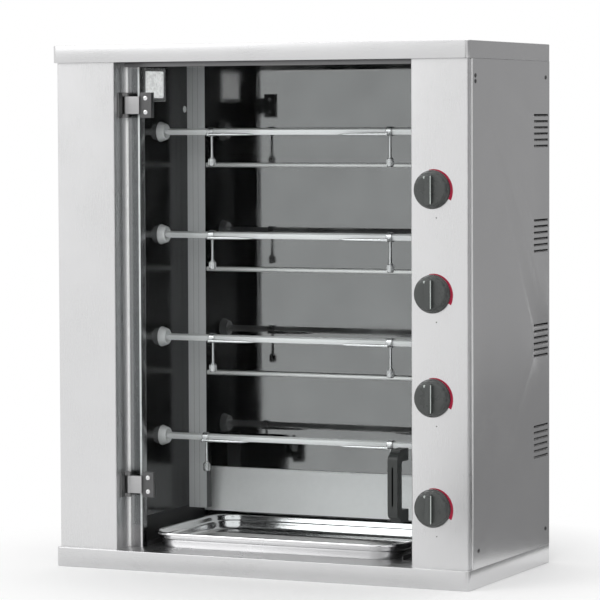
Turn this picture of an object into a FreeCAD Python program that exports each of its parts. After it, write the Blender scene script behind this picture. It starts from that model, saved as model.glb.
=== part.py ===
import FreeCAD, Part
import os
import re

# Countertop electric rotisserie: stainless casing, hinged glass door, four driven spits, drip tray.
# Millimetres. X runs to the right, Y to the back, Z up from the underside of the base.
# In the lengths below, Y is counted from the front edge of the top cap.

doc = FreeCAD.newDocument("rotisserie")
dims = doc.addObject("Spreadsheet::Sheet", "Dims")

values = {
    # casing
    "body_width": 835.0,
    "body_depth": 407.0,
    "body_height": 975.0,
    "base_height": 36.0,
    "cap_height": 32.0,
    "corner_radius": 9.0,
    "bend_radius": 2.5,
    "sheet": 1.5,
    "face_set_back": 9.0,
    "side_inset": 5.0,
    "left_column_width": 120.0,
    "right_column_width": 109.0,
    "side_return": 13.0,
    "recess_depth": 47.0,
    # cooking chamber
    "wall_gap": 5.0,
    "back_wall_from_rear": 87.0,
    "back_wall_low": 231.0,
    "low_wall_from_rear": 23.0,
    "wall_low": 88.0,
    "jamb_width": 28.0,
    "right_jamb_width": 20.0,
    "jamb_ridge_width": 4.0,
    "jamb_ridge_height": 2.5,
    "jamb_return": 22.0,
    "lintel_height": 8.0,
    "deflector_top": 157.0,
    "deflector_low": 71.0,
    "deflector_run": 18.0,
    "cover_width": 38.0,
    "cover_depth": 21.0,
    "cover_groove": 1.8,
    "groove_depth": 0.7,
    # spits and forks
    "spit_y": 187.0,
    "top_spit_drop": 127.5,
    "low_spit_height": 235.0,
    "low_spit_raise": 6.0,
    "spit_square": 10.0,
    "spit_turn": 18.0,
    "socket_gap": 0.1,
    "spit_pin_radius": 4.0,
    "bearing_radius": 19.0,
    "bearing_proud": 13.5,
    "bearing_tail_radius": 8.6,
    "bearing_tail_length": 14.0,
    "bearing_slope": 5.0,
    "hub_radius": 17.0,
    "hub_proud": 13.0,
    "hub_shaft_radius": 8.0,
    "running_gap": 0.05,
    "motor_flange_width": 68.0,
    "motor_flange_height": 60.0,
    "motor_flange": 4.0,
    "gear_radius": 27.0,
    "gear_length": 23.0,
    "motor_radius": 21.0,
    "motor_length": 35.0,
    "fork_left": 178.5,
    "low_fork_left": 193.0,
    "fork_right": 187.0,
    "fork_block": 12.0,
    "fork_collar": 2.0,
    "prong_length": 96.0,
    "prong_drop": 5.0,
    "prong_radius": 3.0,
    "prong_spread": 17.0,
    "screw_rod_radius": 2.8,
    "screw_rod_length": 41.0,
    "screw_head_length": 17.0,
    "screw_head_radius": 6.4,
    # heating elements
    "top_element_drop": 192.0,
    "low_element_height": 347.5,
    "element_from_wall": 12.0,
    "element_radius": 4.3,
    "collar_radius": 7.0,
    "collar_length": 9.0,
    # door
    "glass_y": 50.0,
    "glass_thickness": 6.0,
    "glass_low": 76.5,
    "glass_gap": 3.0,
    "pivot_offset": 8.5,
    "pivot_y": 43.0,
    "pin_radius": 3.0,
    "barrel_radius": 5.0,
    "ear_height": 7.0,
    "ear_gap": 0.3,
    "leaf_thickness": 2.5,
    "leaf_reach": 20.0,
    "top_hinge_inset": 68.0,
    "low_hinge_inset": 79.5,
    "hinge_half": 23.5,
    "clamp_bridge": 28.0,
    "clamp_width": 23.0,
    "clamp_thickness": 5.0,
    "backing_thickness": 1.4,
    "door_screw_radius": 3.0,
    "door_screw_head": 4.6,
    "door_screw_spread": 13.0,
    "handle_inset": 29.5,
    "handle_height": 103.5,
    "handle_length": 132.0,
    "handle_width": 19.0,
    "handle_reach": 52.0,
    "handle_depth": 21.0,
    "handle_foot": 22.0,
    "magnet_width": 11.5,
    "magnet_height": 40.0,
    # tray
    "tray_side_gap": 23.5,
    "tray_right_gap": 44.5,
    "tray_back_gap": 6.0,
    "tray_front": 60.0,
    "tray_lift": 0.2,
    "tray_taper": 3.0,
    "tray_rim": 65.5,
    "tray_sheet": 1.2,
    "tray_lip": 9.0,
    "tray_corner": 62.0,
    "tray_step": 13.0,
    # knobs
    "knob_inset": 40.5,
    "top_knob_drop": 231.5,
    "low_knob_height": 143.9,
    "low_knob_space": 11.7,
    "knob_radius": 34.5,
    "knob_proud": 22.0,
    "knob_skirt": 5.2,
    "knob_ridge": 11.0,
    "knob_shaft_radius": 3.0,
    "knob_shaft_length": 25.0,
    "switch_size": 42.0,
    "switch_depth": 34.0,
    "switch_bush_radius": 5.1,
    # chamber lamp
    "lamp_y": 156.0,
    "lamp_drop": 38.5,
    "lamp_width": 88.0,
    "lamp_height": 64.0,
    "lamp_frame": 7.0,
    "lamp_proud": 4.5,
    "lamp_glass": 3.0,
    "lamp_box_depth": 46.0,
    "bulb_radius": 11.0,
    # air slots
    "slot_length": 74.0,
    "slot_height": 4.6,
    "slot_pitch": 11.4,
    "vent_from_rear": 45.0,
    "rear_slot_height": 5.0,
    "rear_slot_pitch": 14.0,
    "gland_in": 60.0,
    "gland_up": 44.0,
    "gland_hole_radius": 9.0,
    "wire_hole_radius": 4.5,
    "side_screw_radius": 4.0,
    "side_screw_proud": 1.4,
}
row = 0
for word, number in values.items():
    row = row + 1
    dims.set("A%d" % row, word)
    dims.set("B%d" % row, str(number))
    dims.setAlias("B%d" % row, word)
doc.recompute()

# Short words for places that many pieces share.
places = {
    "LEFT": "(-body_width/2)",
    "RIGHT": "(body_width/2)",
    "FACE": "(face_set_back)",
    "RECESS": "(face_set_back + recess_depth)",
    "TOP": "(body_height - cap_height)",
    "OPEN_L": "(side_inset + left_column_width - body_width/2)",
    "OPEN_R": "(body_width/2 - side_inset - right_column_width)",
    "WALL_L": "(side_inset + left_column_width + wall_gap - body_width/2)",
    "WALL_R": "(body_width/2 - side_inset - right_column_width - wall_gap)",
    "CEIL": "(body_height - cap_height - sheet)",
    "BACK_WALL": "(body_depth - back_wall_from_rear)",
    "LOW_WALL": "(body_depth - low_wall_from_rear)",
    "TRAY_L": "(side_inset + left_column_width + wall_gap + tray_side_gap - body_width/2)",
    "TRAY_R": "(body_width/2 - side_inset - right_column_width - wall_gap - tray_right_gap)",
    "TRAY_BACK": "(body_depth - low_wall_from_rear - tray_back_gap)",
    "SPIT_1": "(body_height - cap_height - sheet - top_spit_drop)",
    "SPIT_2": "((2*(body_height - cap_height - sheet - top_spit_drop) + low_spit_height - low_spit_raise)/3)",
    "SPIT_3": "((body_height - cap_height - sheet - top_spit_drop + 2*low_spit_height - 2*low_spit_raise)/3)",
    "SPIT_4": "(low_spit_height)",
    "ELEMENT_1": "(body_height - cap_height - sheet - top_element_drop)",
    "ELEMENT_2": "((body_height - cap_height - sheet - top_element_drop + low_element_height)/2)",
    "ELEMENT_3": "(low_element_height)",
    "ELEMENT_Y": "(body_depth - back_wall_from_rear - element_from_wall)",
    "KNOB_X": "(body_width/2 - side_inset - right_column_width + knob_inset)",
    "KNOB_1": "(body_height - cap_height - top_knob_drop)",
    "KNOB_2": "((2*(body_height - cap_height - top_knob_drop) + low_knob_height + low_knob_space)/3)",
    "KNOB_3": "((body_height - cap_height - top_knob_drop + 2*low_knob_height + 2*low_knob_space)/3)",
    "KNOB_4": "(low_knob_height)",
    "GLASS_L": "(side_inset + left_column_width + pivot_offset - body_width/2)",
    "GLASS_R": "(body_width/2 - side_inset - right_column_width - glass_gap)",
    "GLASS_TOP": "(body_height - cap_height - lintel_height - glass_gap)",
    "HINGE_1": "(body_height - cap_height - lintel_height - glass_gap - top_hinge_inset)",
    "HINGE_2": "(glass_low + low_hinge_inset)",
    "HANDLE_X": "(body_width/2 - side_inset - right_column_width - glass_gap - handle_inset)",
    "HANDLE_Z": "(glass_low + handle_height)",
    "LAMP_Z": "(body_height - cap_height - sheet - lamp_drop)",
}
# The casing is centred on the origin: half of what the knobs and the body take up lies on each side of Y = 0.
shift = "(knob_proud - face_set_back - body_depth)/2"


def bound(expression):
    text = str(expression)
    for word, meaning in places.items():
        text = re.sub(r"\b%s\b" % word, meaning, text)
    return re.sub(r"[a-z]+(?:_[a-z]+)*",
                  lambda m: "Dims." + m.group(0) if m.group(0) in values else m.group(0), text)


def place(piece, x, y, z):
    piece.setExpression("Placement.Base.x", bound(x))
    piece.setExpression("Placement.Base.y", bound("%s + %s" % (y, shift)))
    piece.setExpression("Placement.Base.z", bound(z))


def box(x0, x1, y0, y1, z0, z1):
    piece = doc.addObject("Part::Box", "block")
    piece.setExpression("Length", bound("(%s) - (%s)" % (x1, x0)))
    piece.setExpression("Width", bound("(%s) - (%s)" % (y1, y0)))
    piece.setExpression("Height", bound("(%s) - (%s)" % (z1, z0)))
    place(piece, x0, y0, z0)
    return piece


turns = {
    "x": FreeCAD.Rotation(FreeCAD.Vector(0, 1, 0), 90),
    "y": FreeCAD.Rotation(FreeCAD.Vector(1, 0, 0), -90),
    "z": FreeCAD.Rotation(),
}


def rod(along, x, y, z, radius, length):
    piece = doc.addObject("Part::Cylinder", "rod")
    piece.Placement = FreeCAD.Placement(FreeCAD.Vector(), turns[along])
    piece.setExpression("Radius", bound(radius))
    piece.setExpression("Height", bound(length))
    place(piece, x, y, z)
    return piece


def taper(along, x, y, z, radius, end_radius, length):
    piece = doc.addObject("Part::Cone", "taper")
    piece.Placement = FreeCAD.Placement(FreeCAD.Vector(), turns[along])
    piece.setExpression("Radius1", bound(radius))
    piece.setExpression("Radius2", bound(end_radius))
    piece.setExpression("Height", bound(length))
    place(piece, x, y, z)
    return piece


def fuse(pieces, label="joined"):
    whole = doc.addObject("Part::MultiFuse", label)
    whole.Shapes = pieces
    whole.Refine = True
    return whole


def cut(solid, tools, label="cut"):
    tool = tools[0]
    if len(tools) > 1:
        tool = doc.addObject("Part::MultiFuse", "tools")
        tool.Shapes = tools
    piece = doc.addObject("Part::Cut", label)
    piece.Base = solid
    piece.Tool = tool
    piece.Refine = True
    return piece


def group(pieces, label):
    whole = doc.addObject("Part::Compound", label)
    whole.Links = pieces
    return whole


def rounded_front(x0, x1, y0, y1, z0, z1, radius):
    """A block with two rounded front corners."""
    height = "(%s) - (%s)" % (z1, z0)
    back = box(x0, x1, "%s + %s" % (y0, radius), y1, z0, z1)
    front = box("%s + %s" % (x0, radius), "%s - %s" % (x1, radius), y0, "%s + %s + 1" % (y0, radius), z0,
                z1)
    left = rod("z", "%s + %s" % (x0, radius), "%s + %s" % (y0, radius), z0, radius, height)
    right = rod("z", "%s - %s" % (x1, radius), "%s + %s" % (y0, radius), z0, radius, height)
    return fuse([back, front, left, right])


def rounded(x0, x1, y0, y1, z0, z1, radius):
    """A block with four rounded upright corners."""
    height = "(%s) - (%s)" % (z1, z0)
    wide = box(x0, x1, "%s + %s" % (y0, radius), "%s - %s" % (y1, radius), z0, z1)
    deep = box("%s + %s" % (x0, radius), "%s - %s" % (x1, radius), y0, y1, z0, z1)
    corners = []
    for x in ("%s + %s" % (x0, radius), "%s - %s" % (x1, radius)):
        for y in ("%s + %s" % (y0, radius), "%s - %s" % (y1, radius)):
            corners.append(rod("z", x, y, z0, radius, height))
    return fuse([wide, deep] + corners)


nodes = []


def keep(piece, label):
    piece.Label = label
    nodes.append(piece)
    return piece


# Base slab: a pan open below, closed by its floor plate.
outer = rounded_front("LEFT", "RIGHT", "0", "body_depth", "0", "base_height", "corner_radius")
hollow = box("LEFT + corner_radius", "RIGHT - corner_radius", "corner_radius", "body_depth - sheet",
             "-5", "base_height - sheet")
keep(cut(outer, [hollow]), "base_pan")
keep(box("LEFT + corner_radius", "RIGHT - corner_radius", "corner_radius", "body_depth - sheet",
         "0", "sheet"), "bottom_plate")

# Top cap: a closed pan with an opening in its underside.
outer = rounded_front("LEFT", "RIGHT", "0", "body_depth", "TOP", "body_height", "corner_radius")
hollow = box("LEFT + corner_radius", "RIGHT - corner_radius", "corner_radius", "body_depth - sheet",
             "TOP + sheet", "body_height - sheet")
hatch = box("LEFT + 30", "RIGHT - 30", "70", "body_depth - 30", "TOP - 5", "TOP + 5")
keep(cut(outer, [hollow, hatch]), "top_cap")


def column(x0, x1, outside, label, holes):
    """A folded front panel: face, deep return beside the door, short return towards the side panel."""
    outer = rounded_front(x0, x1, "FACE", "RECESS", "base_height", "TOP", "bend_radius")
    inner = rounded_front("%s + sheet" % x0, "%s - sheet" % x1, "FACE + sheet", "RECESS + 5",
                          "base_height - 1", "TOP + 1", "1")
    if outside == "left":
        spare = box("%s - 5" % x0, "%s + 20" % x0, "FACE + side_return", "RECESS + 5", "base_height - 1",
                    "TOP + 1")
    else:
        spare = box("%s - 20" % x1, "%s + 5" % x1, "FACE + side_return", "RECESS + 5", "base_height - 1",
                    "TOP + 1")
    return keep(cut(outer, [inner, spare] + holes), label)


column("(LEFT + side_inset)", "OPEN_L", "left", "left_front_panel", [])
shaft_holes = []
for level in ("KNOB_1", "KNOB_2", "KNOB_3", "KNOB_4"):
    shaft_holes.append(rod("y", "KNOB_X", "FACE - 5", level, "switch_bush_radius + 0.1", "12"))
column("OPEN_R", "(RIGHT - side_inset)", "right", "control_panel", shaft_holes)


def side(outer_x, inner_x, label, slots):
    """A side panel with a bend at its front edge that meets the column's short return."""
    front = "(FACE + side_return - 2)"
    if outer_x == "LEFT":
        centre = "LEFT + bend_radius"
        lip = box(centre, inner_x, front, "%s + sheet" % front, "base_height", "TOP")
        skin = box("LEFT", "LEFT + sheet", "%s + bend_radius" % front, "body_depth", "base_height", "TOP")
    else:
        centre = "RIGHT - bend_radius"
        lip = box(inner_x, centre, front, "%s + sheet" % front, "base_height", "TOP")
        skin = box("RIGHT - sheet", "RIGHT", "%s + bend_radius" % front, "body_depth", "base_height", "TOP")
    bend = rod("z", centre, "%s + bend_radius" % front, "base_height", "bend_radius", "TOP - base_height")
    core = rod("z", centre, "%s + bend_radius" % front, "base_height - 1", "bend_radius - sheet",
               "TOP - base_height + 2")
    if outer_x == "LEFT":
        spare = box(centre, "%s + 5" % centre, "%s + sheet" % front, "%s + 10" % front, "base_height - 1",
                    "TOP + 1")
        rest = box("LEFT + sheet", "%s + 5" % centre, "%s + bend_radius" % front, "%s + 10" % front,
                   "base_height - 1", "TOP + 1")
    else:
        spare = box("%s - 5" % centre, centre, "%s + sheet" % front, "%s + 10" % front, "base_height - 1",
                    "TOP + 1")
        rest = box("%s - 5" % centre, "RIGHT - sheet", "%s + bend_radius" % front, "%s + 10" % front,
                   "base_height - 1", "TOP + 1")
    return keep(cut(fuse([lip, skin, bend]), [core, spare, rest] + slots), label)


side("LEFT", "(LEFT + side_inset)", "left_side_panel", [])
air_slots = []
for level in ("SPIT_1", "SPIT_2", "SPIT_3", "SPIT_4"):
    for step in (-2.5, -1.5, -0.5, 0.5, 1.5, 2.5):
        low = "%s + %s*slot_pitch - slot_height/2" % (level, step)
        air_slots.append(box("RIGHT - 5", "RIGHT + 5", "body_depth - vent_from_rear - slot_length/2",
                             "body_depth - vent_from_rear + slot_length/2",
                             low, "%s + slot_height" % low))
side("RIGHT", "(RIGHT - side_inset)", "right_side_panel", air_slots)

# Back cover between the side panels, with air slots behind the motors and a hole for the cable gland.
plate = box("LEFT + sheet", "RIGHT - sheet", "body_depth - sheet", "body_depth", "base_height", "TOP")
holes = [rod("y", "RIGHT - gland_in", "body_depth - 10", "base_height + gland_up", "gland_hole_radius",
             "20")]
for step in (0, 1, 2, 3, 4, 5, 6, 7):
    low = "TOP - 90 - %d*rear_slot_pitch" % step
    holes.append(box("RIGHT - 100", "RIGHT - 30", "body_depth - 10", "body_depth + 5", low,
                     "%s + rear_slot_height" % low))
    low = "base_height + 90 + %d*rear_slot_pitch" % step
    holes.append(box("RIGHT - 100", "RIGHT - 30", "body_depth - 10", "body_depth + 5", low,
                     "%s + rear_slot_height" % low))
keep(cut(plate, holes), "back_cover")
outside = rod("y", "RIGHT - gland_in", "body_depth - 12", "base_height + gland_up",
              "gland_hole_radius - 0.02", "12")
collar = rod("y", "RIGHT - gland_in", "body_depth - 5", "base_height + gland_up", "gland_hole_radius + 3",
             "3.5")
wire_hole = rod("y", "RIGHT - gland_in", "body_depth - 20", "base_height + gland_up", "wire_hole_radius",
                "40")
keep(cut(fuse([outside, collar]), [wire_hole]), "cable_gland")

# Chamber walls. The left one has holes for the bearings and the lamp, the right one for the drive shafts.
levels = ("SPIT_1", "SPIT_2", "SPIT_3", "SPIT_4")
plate = box("WALL_L - sheet", "WALL_L", "RECESS + 4 + sheet", "LOW_WALL + sheet", "wall_low", "CEIL")
holes = [rod("x", "WALL_L - 10", "spit_y", level, "bearing_tail_radius + 0.4", "20") for level in levels]
holes.append(box("WALL_L - 10", "WALL_L + 10", "lamp_y - lamp_width/2 + lamp_frame",
                 "lamp_y + lamp_width/2 - lamp_frame",
                 "LAMP_Z - lamp_height/2 + lamp_frame", "LAMP_Z + lamp_height/2 - lamp_frame"))
keep(cut(plate, holes), "liner_left")
plate = box("WALL_R", "WALL_R + sheet", "RECESS + 4 + sheet", "LOW_WALL + sheet", "wall_low", "CEIL")
holes = [rod("x", "WALL_R - 10", "spit_y", level, "hub_shaft_radius + 1.5", "20") for level in levels]
keep(cut(plate, holes), "liner_right")
upright = box("WALL_L", "WALL_R", "BACK_WALL", "BACK_WALL + sheet", "back_wall_low", "CEIL")
fold = box("WALL_L", "WALL_R", "BACK_WALL", "LOW_WALL", "back_wall_low", "back_wall_low + sheet")
keep(fuse([upright, fold]), "liner_back")
keep(box("WALL_L", "WALL_R", "LOW_WALL", "LOW_WALL + sheet", "base_height", "back_wall_low + 30"),
     "lower_back_panel")
keep(box("OPEN_L", "OPEN_R", "RECESS + 2", "LOW_WALL + sheet", "CEIL", "TOP"), "liner_top")

# Sloping plate that leads fat into the tray. It leans on the lower back panel.
slope = box("WALL_L", "WALL_R", "LOW_WALL - deflector_run", "LOW_WALL - deflector_run + sheet",
            "deflector_low", "deflector_low + sqrt((deflector_top - deflector_low)^2 + deflector_run^2) - 2")
slope.Placement = FreeCAD.Placement(FreeCAD.Vector(), FreeCAD.Rotation(FreeCAD.Vector(-1, 0, 0), 10))
slope.setExpression("Placement.Rotation.Angle",
                    bound("atan((deflector_run - sheet)/(deflector_top - deflector_low))"))
place(slope, "WALL_L", "LOW_WALL - deflector_run", "deflector_low")
lip = box("WALL_L", "WALL_R", "LOW_WALL - 5", "LOW_WALL", "deflector_top - 2.5", "deflector_top - 1")
keep(fuse([slope, lip]), "grease_deflector")

# Folded covers over the ends of the heating elements, in the two rear corners.
heat_levels = ("ELEMENT_1", "ELEMENT_2", "ELEMENT_3")


def end_cover(x0, x1, corner, return_x, label):
    """A cover with a front face, two pressed grooves and a return to the back wall at its inner edge."""
    face = box(x0, x1, "BACK_WALL - cover_depth", "BACK_WALL - cover_depth + sheet", "wall_low - 4", "CEIL")
    back = box(return_x, "%s + sheet" % return_x, "BACK_WALL - cover_depth", "BACK_WALL", "wall_low - 4",
               "CEIL")
    grooves = []
    for part in (0.33, 0.62):
        middle = "%s + %s*cover_width" % (x0, part)
        grooves.append(box("%s - cover_groove/2" % middle, "%s + cover_groove/2" % middle,
                           "BACK_WALL - cover_depth - 1", "BACK_WALL - cover_depth + groove_depth",
                           "wall_low - 9",
                           "CEIL + 5"))
    holes = [rod("x", "%s - 10" % corner, "ELEMENT_Y", level, "element_radius + 0.4",
                 "20") for level in heat_levels]
    return keep(cut(fuse([face, back]), grooves + holes), label)


end_cover("WALL_L", "(WALL_L + cover_width)", "(WALL_L + cover_width)", "(WALL_L + cover_width - sheet)",
          "element_cover_left")
end_cover("(WALL_R - cover_width)", "WALL_R", "(WALL_R - cover_width)", "(WALL_R - cover_width)",
          "element_cover_right")

# Heating elements: straight tubes with a collar at each wall.
tubes = []
for level in heat_levels:
    tube = rod("x", "WALL_L", "ELEMENT_Y", level, "element_radius", "WALL_R - WALL_L")
    left = rod("x", "WALL_L", "ELEMENT_Y", level, "collar_radius", "collar_length")
    right = rod("x", "WALL_R - collar_length", "ELEMENT_Y", level, "collar_radius", "collar_length")
    tubes.append(fuse([tube, left, right]))
keep(group(tubes, "tubes"), "heating_elements")


def jamb(x0, x1, inner, outer, label):
    """A pressed post behind the door's edge, with two raised edges and a return into the chamber."""
    front = "RECESS + 4 - jamb_ridge_height"
    plate = box(x0, x1, "RECESS + 4", "RECESS + 4 + sheet", "base_height", "CEIL")
    first = box(x0, "%s + jamb_ridge_width" % x0, front, "RECESS + 4 + sheet", "base_height", "CEIL")
    second = box("%s - jamb_ridge_width" % x1, x1, front, "RECESS + 4 + sheet", "base_height", "CEIL")
    deep = box(inner, "%s + sheet" % inner, front, "RECESS + jamb_return", "base_height", "CEIL")
    flange = box(outer, "%s + sheet" % outer, "RECESS", "RECESS + 4 + sheet", "base_height", "CEIL")
    return keep(fuse([plate, first, second, deep, flange]), label)


jamb("OPEN_L", "(OPEN_L + jamb_width)", "(OPEN_L + jamb_width - sheet)", "(OPEN_L - sheet)",
     "door_jamb_left")
jamb("(OPEN_R - right_jamb_width)", "OPEN_R", "(OPEN_R - right_jamb_width)", "OPEN_R", "door_jamb_right")
upright = box("OPEN_L", "OPEN_R", "glass_y + 2", "glass_y + 2 + sheet", "TOP - lintel_height", "TOP")
shelf = box("OPEN_L", "OPEN_R", "glass_y + 2", "RECESS + 2", "TOP - sheet", "TOP")
keep(fuse([upright, shelf]), "door_lintel")

# Dark runners beside the tray. They close the lower part of the chamber's sides.
for name, outer, edge in (("left", "WALL_L - 9", "left"), ("right", "WALL_R + 9 - sheet", "right")):
    web = box(outer, "%s + sheet" % outer, "RECESS + jamb_return", "LOW_WALL", "base_height",
              "wall_low + 6")
    if edge == "left":
        cap = box(outer, "WALL_L - sheet", "RECESS + jamb_return", "LOW_WALL", "wall_low + 4.5",
                  "wall_low + 6")
        foot = box(outer, "TRAY_L - 2", "RECESS + jamb_return", "LOW_WALL", "base_height",
                   "base_height + sheet")
        guide = box("TRAY_L - 2 - sheet", "TRAY_L - 2", "RECESS + jamb_return", "LOW_WALL",
                    "base_height", "base_height + 9")
    else:
        cap = box("WALL_R + sheet", "%s + sheet" % outer, "RECESS + jamb_return", "LOW_WALL",
                  "wall_low + 4.5", "wall_low + 6")
        foot = box("TRAY_R + 2", "%s + sheet" % outer, "RECESS + jamb_return", "LOW_WALL", "base_height",
                   "base_height + sheet")
        guide = box("TRAY_R + 2", "TRAY_R + 2 + sheet", "RECESS + jamb_return", "LOW_WALL",
                    "base_height", "base_height + 9")
    keep(fuse([web, cap, foot, guide]), "tray_runner_" + name)

# Drip tray: a pan with a step below its rolled rim.
deep = "TRAY_BACK"
x0 = "TRAY_L"
x1 = "TRAY_R"
lip = "tray_lip"
rim = rounded(x0, x1, "tray_front", deep, "tray_rim - 3", "tray_rim", "tray_corner")
upper = rounded("(%s + %s)" % (x0, lip), "(%s - %s)" % (x1, lip), "(tray_front + %s)" % lip,
                "(%s - %s)" % (deep, lip),
                "tray_rim - tray_step", "tray_rim - 1", "(tray_corner - %s)" % lip)
lower = rounded("(%s + %s + tray_taper)" % (x0, lip), "(%s - %s - tray_taper)" % (x1, lip),
                "(tray_front + %s + tray_taper)" % lip,
                "(%s - %s - tray_taper)" % (deep, lip), "base_height + tray_lift", "tray_rim - 1",
                "(tray_corner - %s - tray_taper)" % lip)
upper_room = rounded("(%s + %s + tray_sheet)" % (x0, lip), "(%s - %s - tray_sheet)" % (x1, lip),
                     "(tray_front + %s + tray_sheet)" % lip, "(%s - %s - tray_sheet)" % (deep, lip),
                     "tray_rim - tray_step + tray_sheet", "tray_rim + 5",
                     "(tray_corner - %s - tray_sheet)" % lip)
lower_room = rounded("(%s + %s + tray_taper + tray_sheet)" % (x0, lip),
                     "(%s - %s - tray_taper - tray_sheet)" % (x1, lip),
                     "(tray_front + %s + tray_taper + tray_sheet)" % lip,
                     "(%s - %s - tray_taper - tray_sheet)" % (deep, lip),
                     "base_height + tray_lift + tray_sheet", "tray_rim + 5",
                     "(tray_corner - %s - tray_taper - tray_sheet)" % lip)
below_rim = rounded("(%s + tray_sheet)" % x0, "(%s - tray_sheet)" % x1, "(tray_front + tray_sheet)",
                    "(%s - tray_sheet)" % deep, "tray_rim - 8", "tray_rim - tray_sheet",
                    "(tray_corner - tray_sheet)")
collar = rounded("(%s + %s)" % (x0, lip), "(%s - %s)" % (x1, lip), "(tray_front + %s)" % lip,
                 "(%s - %s)" % (deep, lip),
                 "tray_rim - 10", "tray_rim + 1", "(tray_corner - %s)" % lip)
roll = cut(rim, [cut(below_rim, [collar])])
keep(cut(fuse([roll, upper, lower]), [upper_room, lower_room]), "drip_tray")

# Lamp in the left chamber wall: box behind the wall, bulb, glass and frame.
y0 = "(lamp_y - lamp_width/2)"
y1 = "(lamp_y + lamp_width/2)"
z0 = "(LAMP_Z - lamp_height/2)"
z1 = "(LAMP_Z + lamp_height/2)"
shell = box("WALL_L - lamp_box_depth", "WALL_L - sheet", y0, y1, z0, z1)
room = box("WALL_L - lamp_box_depth + sheet", "WALL_L + 5", "%s + lamp_frame" % y0, "%s - lamp_frame" % y1,
           "%s + lamp_frame" % z0,
           "%s - lamp_frame" % z1)
keep(cut(shell, [room]), "lamp_housing")
glass_y0 = "(%s + 3)" % y0
glass_y1 = "(%s - 3)" % y1
keep(box("WALL_L", "WALL_L + lamp_glass", glass_y0, glass_y1, "%s + 3" % z0, "%s - 3" % z1), "lamp_glass")
frame = box("WALL_L", "WALL_L + lamp_proud", y0, y1, z0, z1)
seat = box("WALL_L - 1", "WALL_L + lamp_glass", glass_y0, glass_y1, "%s + 3" % z0, "%s - 3" % z1)
window = box("WALL_L - 1", "WALL_L + 8", "%s + lamp_frame" % y0, "%s - lamp_frame" % y1,
             "%s + lamp_frame" % z0,
             "%s - lamp_frame" % z1)
keep(cut(frame, [seat, window]), "lamp_frame")
socket = rod("x", "WALL_L - lamp_box_depth + sheet", "lamp_y", "LAMP_Z", "11", "16")
neck = rod("x", "WALL_L - 29", "lamp_y", "LAMP_Z", "7", "6")
bulb = doc.addObject("Part::Sphere", "bulb")
bulb.setExpression("Radius", bound("bulb_radius"))
place(bulb, "WALL_L - 15", "lamp_y", "LAMP_Z")
keep(fuse([socket, neck, bulb]), "lamp_bulb")

# Left bearings: a dished ring on the wall with a plain bore for the spit's pin.
rings = []
for level in levels:
    ring = taper("x", "WALL_L", "spit_y", level, "bearing_radius", "bearing_radius - bearing_slope",
                 "bearing_proud")
    tail = rod("x", "WALL_L - bearing_tail_length", "spit_y", level, "bearing_tail_radius",
               "bearing_tail_length + 1")
    dish = taper("x", "WALL_L + 1.5", "spit_y", level, "spit_pin_radius + 2.5", "bearing_radius - 7",
                 "bearing_proud - 1.4")
    bore = rod("x", "WALL_L - 20", "spit_y", level, "spit_pin_radius + running_gap", "40")
    rings.append(cut(fuse([ring, tail]), [dish, bore]))
keep(group(rings, "bearings"), "spit_bearings")

# Gear motors on the outside of the right chamber wall, one for each spit.
motors = []
for level in levels:
    flange = box("WALL_R + sheet", "WALL_R + sheet + motor_flange", "spit_y - motor_flange_width/2",
                 "spit_y + motor_flange_width/2", "%s - motor_flange_height/2" % level,
                 "%s + motor_flange_height/2" % level)
    gear = rod("x", "WALL_R + sheet + motor_flange - 1", "spit_y", level, "gear_radius", "gear_length + 1")
    motor = rod("x", "WALL_R + sheet + motor_flange + gear_length - 1", "spit_y", level, "motor_radius",
                "motor_length + 1")
    bore = rod("x", "WALL_R", "spit_y", level, "hub_shaft_radius + running_gap", "24")
    motors.append(cut(fuse([flange, gear, motor]), [bore]))
keep(group(motors, "motors"), "gear_motors")

# Spits, their drive hubs and two forks on each. A spit is a square bar that stops a little turned.
bar_x0 = "(WALL_L + bearing_proud + 2)"
bar_x1 = "(WALL_R - hub_proud + 9)"


def square_bar(x0, x1, level, side):
    """A square bar along X, centred on the spit's axis and turned about it."""
    bar = box(x0, x1, "0", side, "0", side)
    bar.Placement = FreeCAD.Placement(FreeCAD.Vector(), FreeCAD.Rotation(FreeCAD.Vector(1, 0, 0), 18))
    bar.setExpression("Placement.Rotation.Angle", bound("spit_turn"))
    place(bar, x0, "spit_y - (%s)/2*(cos(spit_turn) - sin(spit_turn))" % side,
          "%s - (%s)/2*(cos(spit_turn) + sin(spit_turn))" % (level, side))
    return bar


for number, level in enumerate(levels, 1):
    shaft = rod("x", "WALL_R - 1", "spit_y", level, "hub_shaft_radius", "20")
    plate = rod("x", "WALL_R - hub_proud", "spit_y", level, "hub_radius", "hub_proud - 2")
    neck = rod("x", "WALL_R - 3", "spit_y", level, "hub_shaft_radius", "4")
    socket = square_bar("(WALL_R - hub_proud - 1)", "(WALL_R - hub_proud + 9.4)", level,
                        "spit_square + 2*socket_gap")
    keep(cut(fuse([plate, neck, shaft]), [socket]), "drive_hub_%d" % number)
    bar = square_bar(bar_x0, bar_x1, level, "spit_square")
    pin = rod("x", "WALL_L - 8", "spit_y", level, "spit_pin_radius",
              "bearing_proud + 12")
    keep(fuse([bar, pin]), "spit_%d" % number)


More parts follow.
